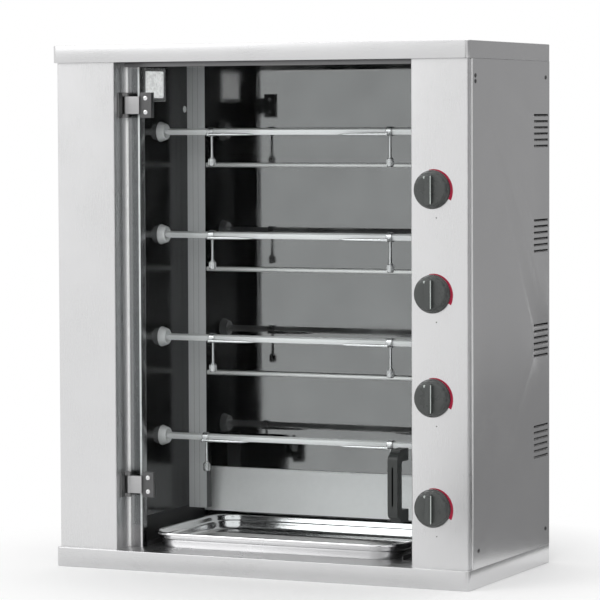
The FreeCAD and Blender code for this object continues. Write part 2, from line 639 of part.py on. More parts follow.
def fork(x, inward, level, label):
    """A collar that slides on the bar, two tapered prongs towards the middle, and a hanging thumb screw."""
    low = "(%s - fork_block/2)" % x
    collar_radius = "(spit_square*sqrt(2)/2 + fork_collar)"
    block = rod("x", low, "spit_y", level, collar_radius, "fork_block")
    arm = box("%s + fork_block/2 - prong_radius" % low, "%s + fork_block/2 + prong_radius" % low,
              "spit_y - prong_spread - prong_radius", "spit_y + prong_spread + prong_radius",
              "%s - prong_drop - prong_radius" % level, "%s - prong_drop + prong_radius" % level)
    prongs = []
    for side_word in ("-", "+"):
        y = "spit_y %s prong_spread" % side_word
        z = "%s - prong_drop" % level
        if inward > 0:
            prongs.append(taper("x", "%s + fork_block/2" % low, y, z, "prong_radius", "0.8",
                                "prong_length"))
        else:
            prongs.append(taper("x", "%s + fork_block/2 - prong_length" % low, y, z, "0.8", "prong_radius",
                                "prong_length"))
    hole = square_bar("(%s - 1)" % low, "(%s + fork_block + 1)" % low, level, "spit_square + 2*socket_gap")
    thread = rod("z", x, "spit_y", "%s - 30" % level, "screw_rod_radius", "30")
    body = cut(fuse([block, arm] + prongs), [hole, thread])
    top = "(%s - spit_square*0.72)" % level
    stem = rod("z", x, "spit_y", "%s - screw_rod_length" % top, "screw_rod_radius",
               "screw_rod_length - 0.3")
    head = rod("z", x, "spit_y", "%s - screw_rod_length - screw_head_length" % top, "screw_head_radius",
               "screw_head_length")
    return keep(group([body, fuse([stem, head])], "fork"), label)


for number, level in enumerate(levels, 1):
    at = "(0 - low_fork_left)" if number == 4 else "(0 - fork_left)"
    fork(at, 1, level, "fork_%d_left" % number)
    fork("fork_right", -1, level, "fork_%d_right" % number)

# Door: one sheet of glass hung on two side clamps.
sheet_glass = box("GLASS_L", "GLASS_R", "glass_y", "glass_y + glass_thickness", "glass_low", "GLASS_TOP")
hinge_levels = ("HINGE_1", "HINGE_2")
screw_x = "(GLASS_L + clamp_bridge + clamp_width/2 - 1)"
holes = []
for level in hinge_levels:
    for off in ("+ door_screw_spread", "- door_screw_spread"):
        holes.append(rod("y", screw_x, "glass_y - 5", "%s %s" % (level, off), "door_screw_radius + 0.02",
                         "20"))
for off in ("+ handle_length/2 - 8", "- handle_length/2 + 8"):
    holes.append(rod("y", "HANDLE_X", "glass_y - 5", "HANDLE_Z %s" % off, "door_screw_radius + 0.02", "20"))
keep(cut(sheet_glass, holes), "door_glass")

pivot_x = "GLASS_L"
leaves = []
clamps = []
screws = []
for level in hinge_levels:
    leaf = box("OPEN_L", "OPEN_L + leaf_thickness", "pivot_y - leaf_reach", "RECESS - 1",
               "%s - hinge_half" % level, "%s + hinge_half" % level)
    pin = rod("z", pivot_x, "pivot_y", "%s - hinge_half" % level, "pin_radius", "2*hinge_half")
    ears = []
    for low, high in (("- hinge_half", "- hinge_half + ear_height"), ("+ hinge_half - ear_height",
                                                                      "+ hinge_half")):
        ears.append(box("OPEN_L", pivot_x, "pivot_y - barrel_radius", "pivot_y + barrel_radius",
                        "%s %s" % (level, low), "%s %s" % (level, high)))
        ears.append(rod("z", pivot_x, "pivot_y", "%s %s" % (level, low), "barrel_radius",
                        "ear_height"))
    leaves.append(fuse([leaf, pin] + ears))
    inner = "(hinge_half - ear_height - ear_gap)"
    barrel = rod("z", pivot_x, "pivot_y", "%s - %s" % (level, inner), "barrel_radius", "2*%s" % inner)
    bridge = box(pivot_x, "%s + clamp_bridge" % pivot_x, "pivot_y - 4", "glass_y", "%s - %s" % (level,
                                                                                                inner),
                 "%s + %s" % (level, inner))
    plate = box("%s + clamp_bridge - 1" % pivot_x, "%s + clamp_bridge + clamp_width - 1" % pivot_x,
                "glass_y - clamp_thickness", "glass_y",
                "%s - hinge_half" % level,
                "%s + hinge_half" % level)
    bore = rod("z", pivot_x, "pivot_y", "%s - 50" % level, "pin_radius + running_gap", "100")
    cuts = [bore]
    backing = box("%s + clamp_bridge - 1" % pivot_x, "%s + clamp_bridge + clamp_width - 1" % pivot_x,
                  "glass_y + glass_thickness",
                  "glass_y + glass_thickness + backing_thickness", "%s - hinge_half" % level,
                  "%s + hinge_half" % level)
    back_cuts = []
    for off in ("+ door_screw_spread", "- door_screw_spread"):
        cuts.append(rod("y", screw_x, "glass_y - 20", "%s %s" % (level, off), "door_screw_radius + 0.02",
                        "40"))
        back_cuts.append(rod("y", screw_x, "glass_y", "%s %s" % (level, off), "door_screw_radius + 0.02",
                             "40"))
        shank = rod("y", screw_x, "glass_y - clamp_thickness", "%s %s" % (level, off), "door_screw_radius",
                    "clamp_thickness + glass_thickness + backing_thickness")
        head = taper("y", screw_x, "glass_y - clamp_thickness - 2", "%s %s" % (level, off),
                     "door_screw_head - 1.2",
                     "door_screw_head", "2")
        screws.append(fuse([shank, head]))
    clamps.append(cut(fuse([barrel, bridge, plate]), cuts))
    clamps.append(cut(backing, back_cuts))
keep(group(leaves, "leaves"), "hinge_leaves")
keep(group(clamps, "clamps"), "hinge_clamps")
for off in ("+ handle_length/2 - 8", "- handle_length/2 + 8"):
    shank = rod("y", "HANDLE_X", "glass_y - 6", "HANDLE_Z %s" % off, "door_screw_radius",
                "glass_thickness + 6")
    head = rod("y", "HANDLE_X", "glass_y + glass_thickness", "HANDLE_Z %s" % off, "5", "1.3")
    screws.append(fuse([shank, head]))
keep(group(screws, "screws"), "door_screws")

# Handle: a black bow with two feet on the glass.
low = "(HANDLE_Z - handle_length/2)"
high = "(HANDLE_Z + handle_length/2)"
grip = box("HANDLE_X - handle_width/2", "HANDLE_X + handle_width/2", "glass_y - handle_reach",
           "glass_y - handle_reach + handle_depth", "%s + 7" % low, "%s - 7" % high)
feet = []
for z_low, z_high in (("%s" % low, "%s + handle_foot" % low), ("%s - handle_foot" % high, "%s" % high)):
    feet.append(box("HANDLE_X - handle_width/2", "HANDLE_X + handle_width/2",
                    "glass_y - handle_reach + handle_depth - 9",
                    "glass_y", z_low, z_high))
bow = fuse([grip] + feet)
holes = [rod("y", "HANDLE_X", "glass_y - 6.5", "HANDLE_Z %s" % off, "door_screw_radius + 0.02", "12")
         for off in ("+ handle_length/2 - 8", "- handle_length/2 + 8")]
keep(cut(bow, holes), "door_handle")
keep(box("OPEN_R - jamb_ridge_width - magnet_width", "OPEN_R - jamb_ridge_width", "RECESS + 0.2",
         "RECESS + 4",
         "glass_low + 6", "glass_low + 6 + magnet_height"), "door_magnet")

# Knobs with their shafts, and the rotary switches behind the panel.
for number, level in enumerate(("KNOB_1", "KNOB_2", "KNOB_3", "KNOB_4"), 1):
    skirt = taper("y", "KNOB_X", "FACE - 6", level, "knob_radius - 2.5", "knob_radius", "knob_skirt")
    body = taper("y", "KNOB_X", "FACE - knob_proud + 9", level, "knob_radius - 4", "knob_radius - 2.5",
                 "knob_proud - 14")
    ridge = box("KNOB_X - knob_ridge/2", "KNOB_X + knob_ridge/2", "FACE - knob_proud", "FACE - 5",
                "%s - knob_radius + 7" % level,
                "%s + knob_radius - 7" % level)
    shaft = rod("y", "KNOB_X", "FACE - 5", level, "knob_shaft_radius", "knob_shaft_length")
    keep(fuse([skirt, body, ridge, shaft]), "knob_%d" % number)
switches = []
for level in ("KNOB_1", "KNOB_2", "KNOB_3", "KNOB_4"):
    case = box("KNOB_X - switch_size/2", "KNOB_X + switch_size/2", "FACE + sheet", "FACE + switch_depth",
               "%s - switch_size/2" % level, "%s + switch_size/2" % level)
    bush = rod("y", "KNOB_X", "FACE + 0.1", level, "switch_bush_radius", "10")
    bore = rod("y", "KNOB_X", "FACE - 5", level, "knob_shaft_radius + running_gap", "26")
    switches.append(cut(fuse([case, bush]), [bore]))
keep(group(switches, "switches"), "rotary_switches")

# Electrical terminal block on the base, behind the right column.
block = box("RIGHT - 90", "RIGHT - 40", "body_depth - 60", "body_depth - 34", "base_height",
            "base_height + 22")
slots = []
for step in (0, 1, 2, 3):
    slots.append(box("RIGHT - 86 + %d*11.5" % step, "RIGHT - 78.5 + %d*11.5" % step, "body_depth - 65",
                     "body_depth - 50",
                     "base_height + 9", "base_height + 30"))
keep(cut(block, slots), "terminal_block")

# Pan-head screws of the side panels.
heads = []
for x, turn in (("LEFT", -1), ("RIGHT", 1)):
    for y, z in (("32", "TOP - 30"), ("32", "TOP - 40"), ("46", "base_height + 31"), ("body_depth - 20",
                                                                                      "TOP - 30"),
                 ("body_depth - 20", "base_height + 31")):
        if turn > 0:
            heads.append(taper("x", x, y, z, "side_screw_radius", "side_screw_radius - 1.4",
                               "side_screw_proud"))
        else:
            heads.append(taper("x", "%s - side_screw_proud" % x, y, z, "side_screw_radius - 1.4",
                               "side_screw_radius",
                               "side_screw_proud"))
keep(group(heads, "heads"), "casing_screws")

# Recompute, look at every object, then write one STEP file for each node.
doc.recompute()
faults = []
for thing in doc.Objects:
    if "Invalid" in thing.State or "Error" in thing.State:
        faults.append(thing.Label)
for piece in nodes:
    if piece.Shape.isNull() or not piece.Shape.isValid() or piece.Shape.Volume <= 0:
        faults.append(piece.Label)
if faults:
    raise RuntimeError("faulty: " + ", ".join(faults))
os.makedirs("parts", exist_ok=True)
for piece in nodes:
    piece.Shape.exportStep("parts/" + piece.Label + ".step")
    print(piece.Label, len(piece.Shape.Solids), round(piece.Shape.Volume))
print(len(nodes), "nodes")
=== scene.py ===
import bpy
import bmesh
import math
from mathutils import Matrix, Vector


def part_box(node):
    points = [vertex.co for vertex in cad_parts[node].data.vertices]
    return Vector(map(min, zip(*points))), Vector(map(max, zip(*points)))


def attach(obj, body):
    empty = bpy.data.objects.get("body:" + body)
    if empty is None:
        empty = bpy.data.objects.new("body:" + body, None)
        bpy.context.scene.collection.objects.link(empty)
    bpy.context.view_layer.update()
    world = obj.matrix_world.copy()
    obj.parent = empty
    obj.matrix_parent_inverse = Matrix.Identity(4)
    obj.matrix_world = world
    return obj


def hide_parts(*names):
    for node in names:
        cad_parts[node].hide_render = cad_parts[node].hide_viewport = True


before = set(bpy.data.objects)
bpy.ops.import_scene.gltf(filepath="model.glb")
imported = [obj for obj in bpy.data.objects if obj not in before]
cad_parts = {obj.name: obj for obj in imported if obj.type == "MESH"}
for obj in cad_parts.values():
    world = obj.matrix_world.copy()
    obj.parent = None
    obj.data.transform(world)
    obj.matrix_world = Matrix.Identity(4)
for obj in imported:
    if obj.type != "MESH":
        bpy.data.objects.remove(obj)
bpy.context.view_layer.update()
print("stage: frame loaded")

# Countertop electric rotisserie. Metres, in the row frame: X right, Y back, Z up.
# frontY is the front edge of the cap; every place below that is counted from the front uses it.
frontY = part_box("top_cap")[0].y

scene = bpy.context.scene
scene.view_settings.view_transform = "Standard"

cameraValues = {
    "place": (2.4866, -5.1855, 0.8365),
    "azimuth": 24.8075,
    "pitch": 3.26,
    "roll": -0.223,
    "lens": 190.2,
}


# The photograph's viewpoint: far off to the right of the front, level with the top spit.
def makeCamera(v):
    data = bpy.data.cameras.new("camera")
    cam = bpy.data.objects.new("camera", data)
    scene.collection.objects.link(cam)
    data.lens = v["lens"]
    data.sensor_width = 36
    data.clip_end = 60
    azimuth, pitch, roll = (math.radians(v[k]) for k in ("azimuth", "pitch", "roll"))
    forward = Vector((-math.sin(azimuth) * math.cos(pitch), math.cos(azimuth) * math.cos(pitch),
                      -math.sin(pitch)))
    right = Vector((math.cos(azimuth), math.sin(azimuth), 0))
    up = right.cross(forward)
    turnedRight = right * math.cos(roll) + up * math.sin(roll)
    turnedUp = up * math.cos(roll) - right * math.sin(roll)
    basis = Matrix((turnedRight, turnedUp, -forward)).transposed()
    place = (v["place"][0], v["place"][1] + frontY, v["place"][2])
    cam.matrix_world = Matrix.Translation(place) @ basis.to_4x4()
    scene.camera = cam
    return cam, forward


camera, cameraForward = makeCamera(cameraValues)

lightValues = {
    "keyPower": 60, "keySize": 3.2, "keyPlace": (-3.2, -3.6, 3.4),
    "topPower": 40, "topSize": 3.0, "topPlace": (0.2, 0.6, 4.2),
    "frontPower": 70, "frontSize": 2.2, "frontPlace": (1.0, -4.4, 1.5),
    "ambient": 0.60,
}


def areaLight(name, place, power, size, target=(0, 0, 0.45)):
    data = bpy.data.lights.new(name, "AREA")
    data.energy = power
    data.size = size
    light = bpy.data.objects.new(name, data)
    light.location = place
    light.rotation_euler = (Vector(target) - Vector(place)).to_track_quat("-Z", "Y").to_euler()
    scene.collection.objects.link(light)
    return light


for name in ("key", "top", "front"):
    made = areaLight(name, lightValues[name + "Place"], lightValues[name + "Power"],
                     lightValues[name + "Size"])
    # The front light only lifts the chamber's matt surfaces: polished steel doesn't mirror it.
    made.visible_glossy = name != "front"


# 1 for the camera, for reflections and for what is seen through glass.
def seenAtFullWhite(nodes, links):
    path = nodes.new("ShaderNodeLightPath")
    first = nodes.new("ShaderNodeMath")
    first.operation = "MAXIMUM"
    second = nodes.new("ShaderNodeMath")
    second.operation = "MAXIMUM"
    links.new(path.outputs["Is Camera Ray"], first.inputs[0])
    links.new(path.outputs["Is Glossy Ray"], first.inputs[1])
    links.new(first.outputs[0], second.inputs[0])
    links.new(path.outputs["Is Transmission Ray"], second.inputs[1])
    return second.outputs[0]


def makeWorld():
    world = bpy.data.worlds.new("studio")
    scene.world = world
    world.use_nodes = True
    nodes, links = world.node_tree.nodes, world.node_tree.links
    nodes.clear()
    out = nodes.new("ShaderNodeOutputWorld")
    mix = nodes.new("ShaderNodeMixShader")
    dim = nodes.new("ShaderNodeBackground")
    dim.inputs["Color"].default_value = (1, 1, 1, 1)
    dim.inputs["Strength"].default_value = lightValues["ambient"]
    white = nodes.new("ShaderNodeBackground")
    white.inputs["Color"].default_value = (1, 1, 1, 1)
    white.inputs["Strength"].default_value = 1
    links.new(seenAtFullWhite(nodes, links), mix.inputs["Fac"])
    links.new(dim.outputs[0], mix.inputs[1])
    links.new(white.outputs[0], mix.inputs[2])
    links.new(mix.outputs[0], out.inputs["Surface"])


makeWorld()


def plane(name, place, size, normal=(0, 0, 1)):
    bm = bmesh.new()
    bmesh.ops.create_grid(bm, x_segments=1, y_segments=1, size=0.5)
    bmesh.ops.scale(bm, vec=(size[0], size[1], 1), verts=bm.verts)
    mesh = bpy.data.meshes.new(name)
    bm.to_mesh(mesh)
    bm.free()
    made = bpy.data.objects.new(name, mesh)
    made.location = place
    made.rotation_euler = Vector(normal).to_track_quat("Z", "Y").to_euler()
    scene.collection.objects.link(made)
    return made


def plainMaterial(name, colour, roughness):
    material = bpy.data.materials.new(name)
    material.use_nodes = True
    shader = material.node_tree.nodes["Principled BSDF"]
    shader.inputs["Base Color"].default_value = (*colour, 1)
    shader.inputs["Roughness"].default_value = roughness
    shader.inputs["Specular IOR Level"].default_value = 0.1
    return material


floorValues = {
    "size": (30, 30), "colour": (0.93, 0.93, 0.93), "roughness": 0.9, "glow": 0.11, "fadeFrom": 0.45,
    "fadeTo": 0.80,
}


# Pale floor that keeps the soft shadow near the machine and fades to plain white further out.
def floorMaterial(v):
    material = plainMaterial("floorPale", v["colour"], v["roughness"])
    nodes, links = material.node_tree.nodes, material.node_tree.links
    shader = nodes["Principled BSDF"]
    shader.inputs["Emission Color"].default_value = (1, 1, 1, 1)
    shader.inputs["Emission Strength"].default_value = v["glow"]
    place = nodes.new("ShaderNodeTexCoord")
    length = nodes.new("ShaderNodeVectorMath")
    length.operation = "LENGTH"
    reach = nodes.new("ShaderNodeMapRange")
    reach.inputs["From Min"].default_value = v["fadeFrom"]
    reach.inputs["From Max"].default_value = v["fadeTo"]
    both = nodes.new("ShaderNodeMath")
    both.operation = "MULTIPLY"
    white = nodes.new("ShaderNodeEmission")
    white.inputs["Strength"].default_value = 1
    mix = nodes.new("ShaderNodeMixShader")
    links.new(place.outputs["Object"], length.inputs[0])
    links.new(length.outputs["Value"], reach.inputs["Value"])
    links.new(reach.outputs["Result"], both.inputs[0])
    links.new(seenAtFullWhite(nodes, links), both.inputs[1])
    links.new(both.outputs[0], mix.inputs["Fac"])
    links.new(shader.outputs[0], mix.inputs[1])
    links.new(white.outputs[0], mix.inputs[2])
    links.new(mix.outputs[0], nodes["Material Output"].inputs["Surface"])
    return material


floor = plane("floor", (0, 0, 0), floorValues["size"])
floor.data.materials.append(floorMaterial(floorValues))

# Cards that only the steel mirrors. Grey ones behind the right rear corner tone the side panel, and dark ones
# from the machine towards the camera and behind it show in the chamber's polished walls.
cardValues = {
    "grey": (0.36, 0.36, 0.362), "low": (0.26, 0.26, 0.262), "dark": (0.02, 0.02, 0.02),
    "rearPlace": (3.4, 4.2, 1.6), "rearSize": (7.0, 5.0),
    "floorFrom": (0.62, 0.0), "floorTurn": 19.4, "floorBehind": 0.4, "floorSize": (3.4, 5.0),
    "stripFrom": 0.75, "stripTo": 5.4, "stripWidth": 0.9,
    "sidePlace": (5.2, 0.4, 1.4), "sideSize": (7.0, 5.0),
    "cameraBack": 1.4, "cameraSize": (1.3, 4.0),
    "rearFacing": (-0.55, -0.83, 0), "sideFacing": (-1, 0, 0), "floorLift": 0.002, "stripLift": 0.003,
}


def shade(name, level):
    material = bpy.data.materials.new(name)
    material.use_nodes = True
    nodes, links = material.node_tree.nodes, material.node_tree.links
    nodes.remove(nodes["Principled BSDF"])
    glow = nodes.new("ShaderNodeEmission")
    glow.inputs["Color"].default_value = (*level, 1)
    links.new(glow.outputs[0], nodes["Material Output"].inputs["Surface"])
    return material


# A card is there for the reflections alone: it doesn't stand in the way of a camera at another angle.
def card(name, place, size, material, normal=(0, 0, 1)):
    made = plane(name, place, size, normal)
    made.visible_camera = False
    made.data.materials.append(material)
    return made


def makeCards(v):
    grey, low, dark = (shade("card" + word.title(), v[word]) for word in ("grey", "low", "dark"))
    card("rearCard", v["rearPlace"], v["rearSize"], grey, v["rearFacing"])
    card("sideCard", v["sidePlace"], v["sideSize"], grey, v["sideFacing"])
    towards = Vector((-cameraForward.x, -cameraForward.y, 0)).normalized()
    # Its left edge follows the right edge of the picture, so it stays out of view.
    turn = math.radians(v["floorTurn"])
    along = Vector((-math.sin(turn), math.cos(turn), 0))
    aside = Vector((math.cos(turn), math.sin(turn), 0))
    width, length = v["floorSize"]
    corner = Vector((*v["floorFrom"], v["floorLift"])) - along * v["floorBehind"]
    floorCard = card("floorCard", corner + aside * width / 2 + along * length / 2, v["floorSize"], low)
    floorCard.rotation_euler = (0, 0, turn)
    middle = towards * (v["stripFrom"] + v["stripTo"]) / 2
    stripSize = (v["stripWidth"], v["stripTo"] - v["stripFrom"])
    strip = card("stripCard", (middle.x, middle.y, v["stripLift"]), stripSize, dark)
    strip.rotation_euler = (0, 0, math.atan2(towards.y, towards.x) - math.pi / 2)
    behind = camera.location - cameraForward * v["cameraBack"]
    card("cameraCard", behind, v["cameraSize"], dark, cameraForward)


makeCards(cardValues)
print("stage: camera and light")


def nodeMaterial(name):
    material = bpy.data.materials.new(name)
    material.use_nodes = True
    nodes, links = material.node_tree.nodes, material.node_tree.links
    return material, nodes, links, nodes["Principled BSDF"]


def coordinates(nodes, links, stretch):
    place = nodes.new("ShaderNodeTexCoord")
    mapping = nodes.new("ShaderNodeMapping")
    mapping.inputs["Scale"].default_value = stretch
    links.new(place.outputs["Object"], mapping.inputs["Vector"])
    return mapping.outputs["Vector"]


def noise(nodes, links, stretch, scale, detail=2.0, rough=0.5):
    texture = nodes.new("ShaderNodeTexNoise")
    texture.inputs["Scale"].default_value = scale
    texture.inputs["Detail"].default_value = detail
    texture.inputs["Roughness"].default_value = rough
    links.new(coordinates(nodes, links, stretch), texture.inputs["Vector"])
    return texture.outputs["Fac"]


def spread(nodes, links, source, low, high, fromLow=0.3, fromHigh=0.7):
    rangeNode = nodes.new("ShaderNodeMapRange")
    rangeNode.inputs["From Min"].default_value = fromLow
    rangeNode.inputs["From Max"].default_value = fromHigh
    rangeNode.inputs["To Min"].default_value = low
    rangeNode.inputs["To Max"].default_value = high
    links.new(source, rangeNode.inputs["Value"])
    return rangeNode.outputs["Result"]


# A colour times a grey factor that varies over the surface.
def tinted(nodes, links, colour, factor):
    mix = nodes.new("ShaderNodeMix")
    mix.data_type = "RGBA"
    mix.blend_type = "MULTIPLY"
    mix.inputs["Factor"].default_value = 1
    mix.inputs[6].default_value = (*colour, 1)
    links.new(factor, mix.inputs[7])
    return mix.outputs[2]


def bumped(nodes, links, height, strength, distance):
    bump = nodes.new("ShaderNodeBump")
    bump.inputs["Strength"].default_value = strength
    bump.inputs["Distance"].default_value = distance
    links.new(height, bump.inputs["Height"])
    return bump.outputs["Normal"]


# Stainless steel: fine grain along one direction, faint cloudy marks from wiping.
def steel(name, colour, roughness, grain=(1, 1, 60), grainScale=28, variation=0.05, bump=0.04, smudge=0.04,
          metallic=1.0):
    material, nodes, links, shader = nodeMaterial(name)
    shader.inputs["Metallic"].default_value = metallic
    fine = noise(nodes, links, grain, grainScale, 3.0, 0.6)
    cloud = noise(nodes, links, (1, 1, 1), 7, 3.0, 0.6)
    tone = nodes.new("ShaderNodeMath")
    tone.operation = "MULTIPLY"
    links.new(spread(nodes, links, fine, 1 - variation, 1), tone.inputs[0])
    links.new(spread(nodes, links, cloud, 1 - smudge, 1), tone.inputs[1])
    links.new(tinted(nodes, links, colour, tone.outputs[0]), shader.inputs["Base Color"])
    wear = nodes.new("ShaderNodeMath")
    wear.operation = "ADD"
    links.new(spread(nodes, links, fine, roughness - 0.04, roughness + 0.04), wear.inputs[0])
    links.new(spread(nodes, links, cloud, -0.025, 0.035), wear.inputs[1])
    links.new(wear.outputs[0], shader.inputs["Roughness"])
    links.new(bumped(nodes, links, fine, bump, 0.0004), shader.inputs["Normal"])
    return material


# Moulded plastic with a fine spark-eroded grain and worn, slightly shinier patches.
def plastic(name, colour, roughness, speck=420, bump=0.12, variation=0.18):
    material, nodes, links, shader = nodeMaterial(name)
    fine = noise(nodes, links, (1, 1, 1), speck, 2.0, 0.5)
    cloud = noise(nodes, links, (1, 1, 1), 26, 3.0, 0.6)
    links.new(tinted(nodes, links, colour, spread(nodes, links, cloud, 1 - variation, 1)),
              shader.inputs["Base Color"])
    links.new(spread(nodes, links, cloud, roughness - 0.06, roughness + 0.08), shader.inputs["Roughness"])
    links.new(bumped(nodes, links, fine, bump, 0.0002), shader.inputs["Normal"])
    shader.inputs["Specular IOR Level"].default_value = 0.45
    return material


def paint(name, colour, roughness):
    material, nodes, links, shader = nodeMaterial(name)
    cloud = noise(nodes, links, (1, 1, 1), 40, 4.0, 0.6)
    links.new(tinted(nodes, links, colour, spread(nodes, links, cloud, 0.8, 1)), shader.inputs["Base Color"])
    links.new(spread(nodes, links, cloud, roughness - 0.08, roughness + 0.1), shader.inputs["Roughness"])
    return material


# Ribbed lamp pane: a milky white with the lamp's faint light in it, broken up by the pattern of the glass.
def litPane(name, level):
    material, nodes, links, shader = nodeMaterial(name)
    nodes.remove(shader)
    glow = nodes.new("ShaderNodeEmission")
    milk = nodes.new("ShaderNodeBsdfDiffuse")
    both = nodes.new("ShaderNodeAddShader")
    pattern = noise(nodes, links, (1, 1, 1), 150, 2.0, 0.6)
    links.new(spread(nodes, links, pattern, level * 0.6, level * 1.35), glow.inputs["Strength"])
    milk.inputs["Color"].default_value = (0.55, 0.55, 0.54, 1)
    links.new(glow.outputs[0], both.inputs[0])
    links.new(milk.outputs[0], both.inputs[1])
    links.new(both.outputs[0], nodes["Material Output"].inputs["Surface"])
    return material


# Thin door glass: light passes straight through, with only a faint reflection and a few wipe marks.
def clearGlass(name, tint, roughness, specular):
    material, nodes, links, shader = nodeMaterial(name)
    nodes.remove(shader)
    through = nodes.new("ShaderNodeBsdfTransparent")
    through.inputs["Color"].default_value = (*tint, 1)
    gloss = nodes.new("ShaderNodeBsdfGlossy")
    gloss.inputs["Roughness"].default_value = roughness
    gloss.inputs["Color"].default_value = (0.9, 0.95, 0.95, 1)
    rim = nodes.new("ShaderNodeLayerWeight")
    rim.inputs["Blend"].default_value = 0.12
    amount = nodes.new("ShaderNodeMath")
    amount.operation = "MULTIPLY"
    amount.inputs[1].default_value = specular
    wipe = noise(nodes, links, (1, 1, 0.35), 9, 5.0, 0.65)
    wiped = nodes.new("ShaderNodeMath")
    wiped.operation = "MULTIPLY"
    mix = nodes.new("ShaderNodeMixShader")
    links.new(rim.outputs["Fresnel"], amount.inputs[0])
    links.new(amount.outputs[0], wiped.inputs[0])
    links.new(spread(nodes, links, wipe, 0.7, 1.3), wiped.inputs[1])
    links.new(wiped.outputs[0], mix.inputs["Fac"])
    links.new(through.outputs[0], mix.inputs[1])
    links.new(gloss.outputs[0], mix.inputs[2])
    links.new(mix.outputs[0], nodes["Material Output"].inputs["Surface"])
    return material


look = {
    "casing": steel("casingSteel", (0.67, 0.67, 0.675), 0.30, (1, 1, 70), 26, 0.035, 0.03),
    "side": steel("sideSteel", (0.74, 0.74, 0.745), 0.20, (1, 1, 70), 26, 0.035, 0.03),
    "louvre": steel("louvreSteel", (0.62, 0.62, 0.625), 0.42, (1, 1, 70), 26, 0.05, 0.03),
    "lampPane": litPane("lampPaneWhite", 0.50),
    # Pale plastic for the painted highlights on the knobs.
    "paintedGlint": plastic("paintedGlintPale", (0.55, 0.60, 0.575), 0.4),
    "printRed": paint("printRed", (0.36, 0.002, 0.035), 0.55),
    "printDark": paint("printDark", (0.05, 0.05, 0.05), 0.5),
    "frontUpright": steel("frontUprightSteel", (0.725, 0.725, 0.73), 0.30, (70, 70, 1), 26, 0.03, 0.03),
    "liner": steel("linerSteel", (0.288, 0.287, 0.287), 0.05, (1, 1, 1), 14, 0.05, 0.01, 0.10),
    # A much darker copy of the liner steel for the chamber's side walls: painted shade.
    "shadedLinerSide": steel("shadedLinerSideSteel", (0.080, 0.080, 0.081), 0.16, (1, 1, 1), 14, 0.06, 0.01, 0.10),
    "bright": steel("brightSteel", (0.84, 0.84, 0.845), 0.24, (1, 60, 60), 60, 0.06, 0.03),
    "barSteel": steel("barSteel", (0.96, 0.96, 0.96), 0.36, (1, 60, 60), 60, 0.05, 0.03, 0.04, 0.22),
    "tray": steel("traySteel", (0.90, 0.90, 0.905), 0.14, (4, 4, 4), 30, 0.05, 0.02, 0.06),
    # A darker copy of the tray steel for the tray's outside: painted shade.
    "trayOutsideShaded": steel("trayOutsideShadedSteel", (0.70, 0.70, 0.705), 0.20, (4, 4, 4), 30, 0.06, 0.02, 0.08),
    # A darker copy of the tray steel for the tray's floor: painted dark reflection.
    "trayFloorShaded": steel("trayFloorShadedSteel", (0.62, 0.615, 0.61), 0.10, (4, 4, 4), 30, 0.10, 0.02, 0.10),
    "fatPlate": steel("fatPlateSteel", (0.94, 0.94, 0.94), 0.45, (4, 4, 4), 30, 0.04, 0.02, 0.05, 0.05),
    "cover": steel("coverSteel", (0.66, 0.66, 0.665), 0.45, (60, 60, 1), 30, 0.05, 0.02, 0.06, 0.2),
    # A darker copy of the jamb steel for the jambs' faces further back: painted shade.
    "jambShaded": steel("jambShadedSteel", (0.36, 0.36, 0.365), 0.22, (60, 60, 1), 30, 0.06, 0.02, 0.06),
    # A dark copy of the casing steel for the lintel: painted shade under the cap.
    "lintel": steel("lintelShadeSteel", (0.20, 0.20, 0.203), 0.30, (60, 60, 1), 30, 0.06, 0.02, 0.06),
    # A near-white copy of the jamb steel for the jambs' front faces: painted highlight on the ridges.
    "jamb": steel("jambLitSteel", (0.95, 0.95, 0.95), 0.28, (60, 60, 1), 30, 0.05, 0.02, 0.05, 0.4),
    "galvanised": steel("galvanisedSteel", (0.45, 0.46, 0.47), 0.42, (1, 1, 1), 60, 0.16, 0.02, 0.1),
    "element": steel("elementSteel", (0.92, 0.92, 0.91), 0.46, (60, 1, 1), 40, 0.06, 0.02, 0.06, 0.45),
    # Near-black runners stand in for the shade in the gaps beside the tray: painted shade.
    "runnerShade": paint("runnerPaintedShade", (0.060, 0.060, 0.061), 0.5),
    "hinge": paint("hingeDark", (0.095, 0.095, 0.097), 0.38),
    "hingeLeaf": steel("hingeLeafSteel", (0.26, 0.26, 0.262), 0.42, (1, 1, 60), 60, 0.10, 0.02, 0.08),
    "darkScrew": steel("darkScrewSteel", (0.13, 0.13, 0.132), 0.35, (1, 1, 1), 60, 0.10, 0.02, 0.08),
    "hingePlain": steel("hingePlainSteel", (0.50, 0.50, 0.505), 0.38, (1, 1, 60), 60, 0.08, 0.02, 0.06),
    "black": plastic("blackPlastic", (0.030, 0.033, 0.032), 0.38),
    "knob": plastic("knobPlastic", (0.062, 0.067, 0.065), 0.28),
    "ceramic": paint("whiteCeramic", (0.72, 0.70, 0.64), 0.5),
    "motor": paint("motorPaint", (0.16, 0.17, 0.18), 0.5),
    "glass": clearGlass("doorGlass", (0.955, 0.965, 0.965), 0.01, 0.22),
}

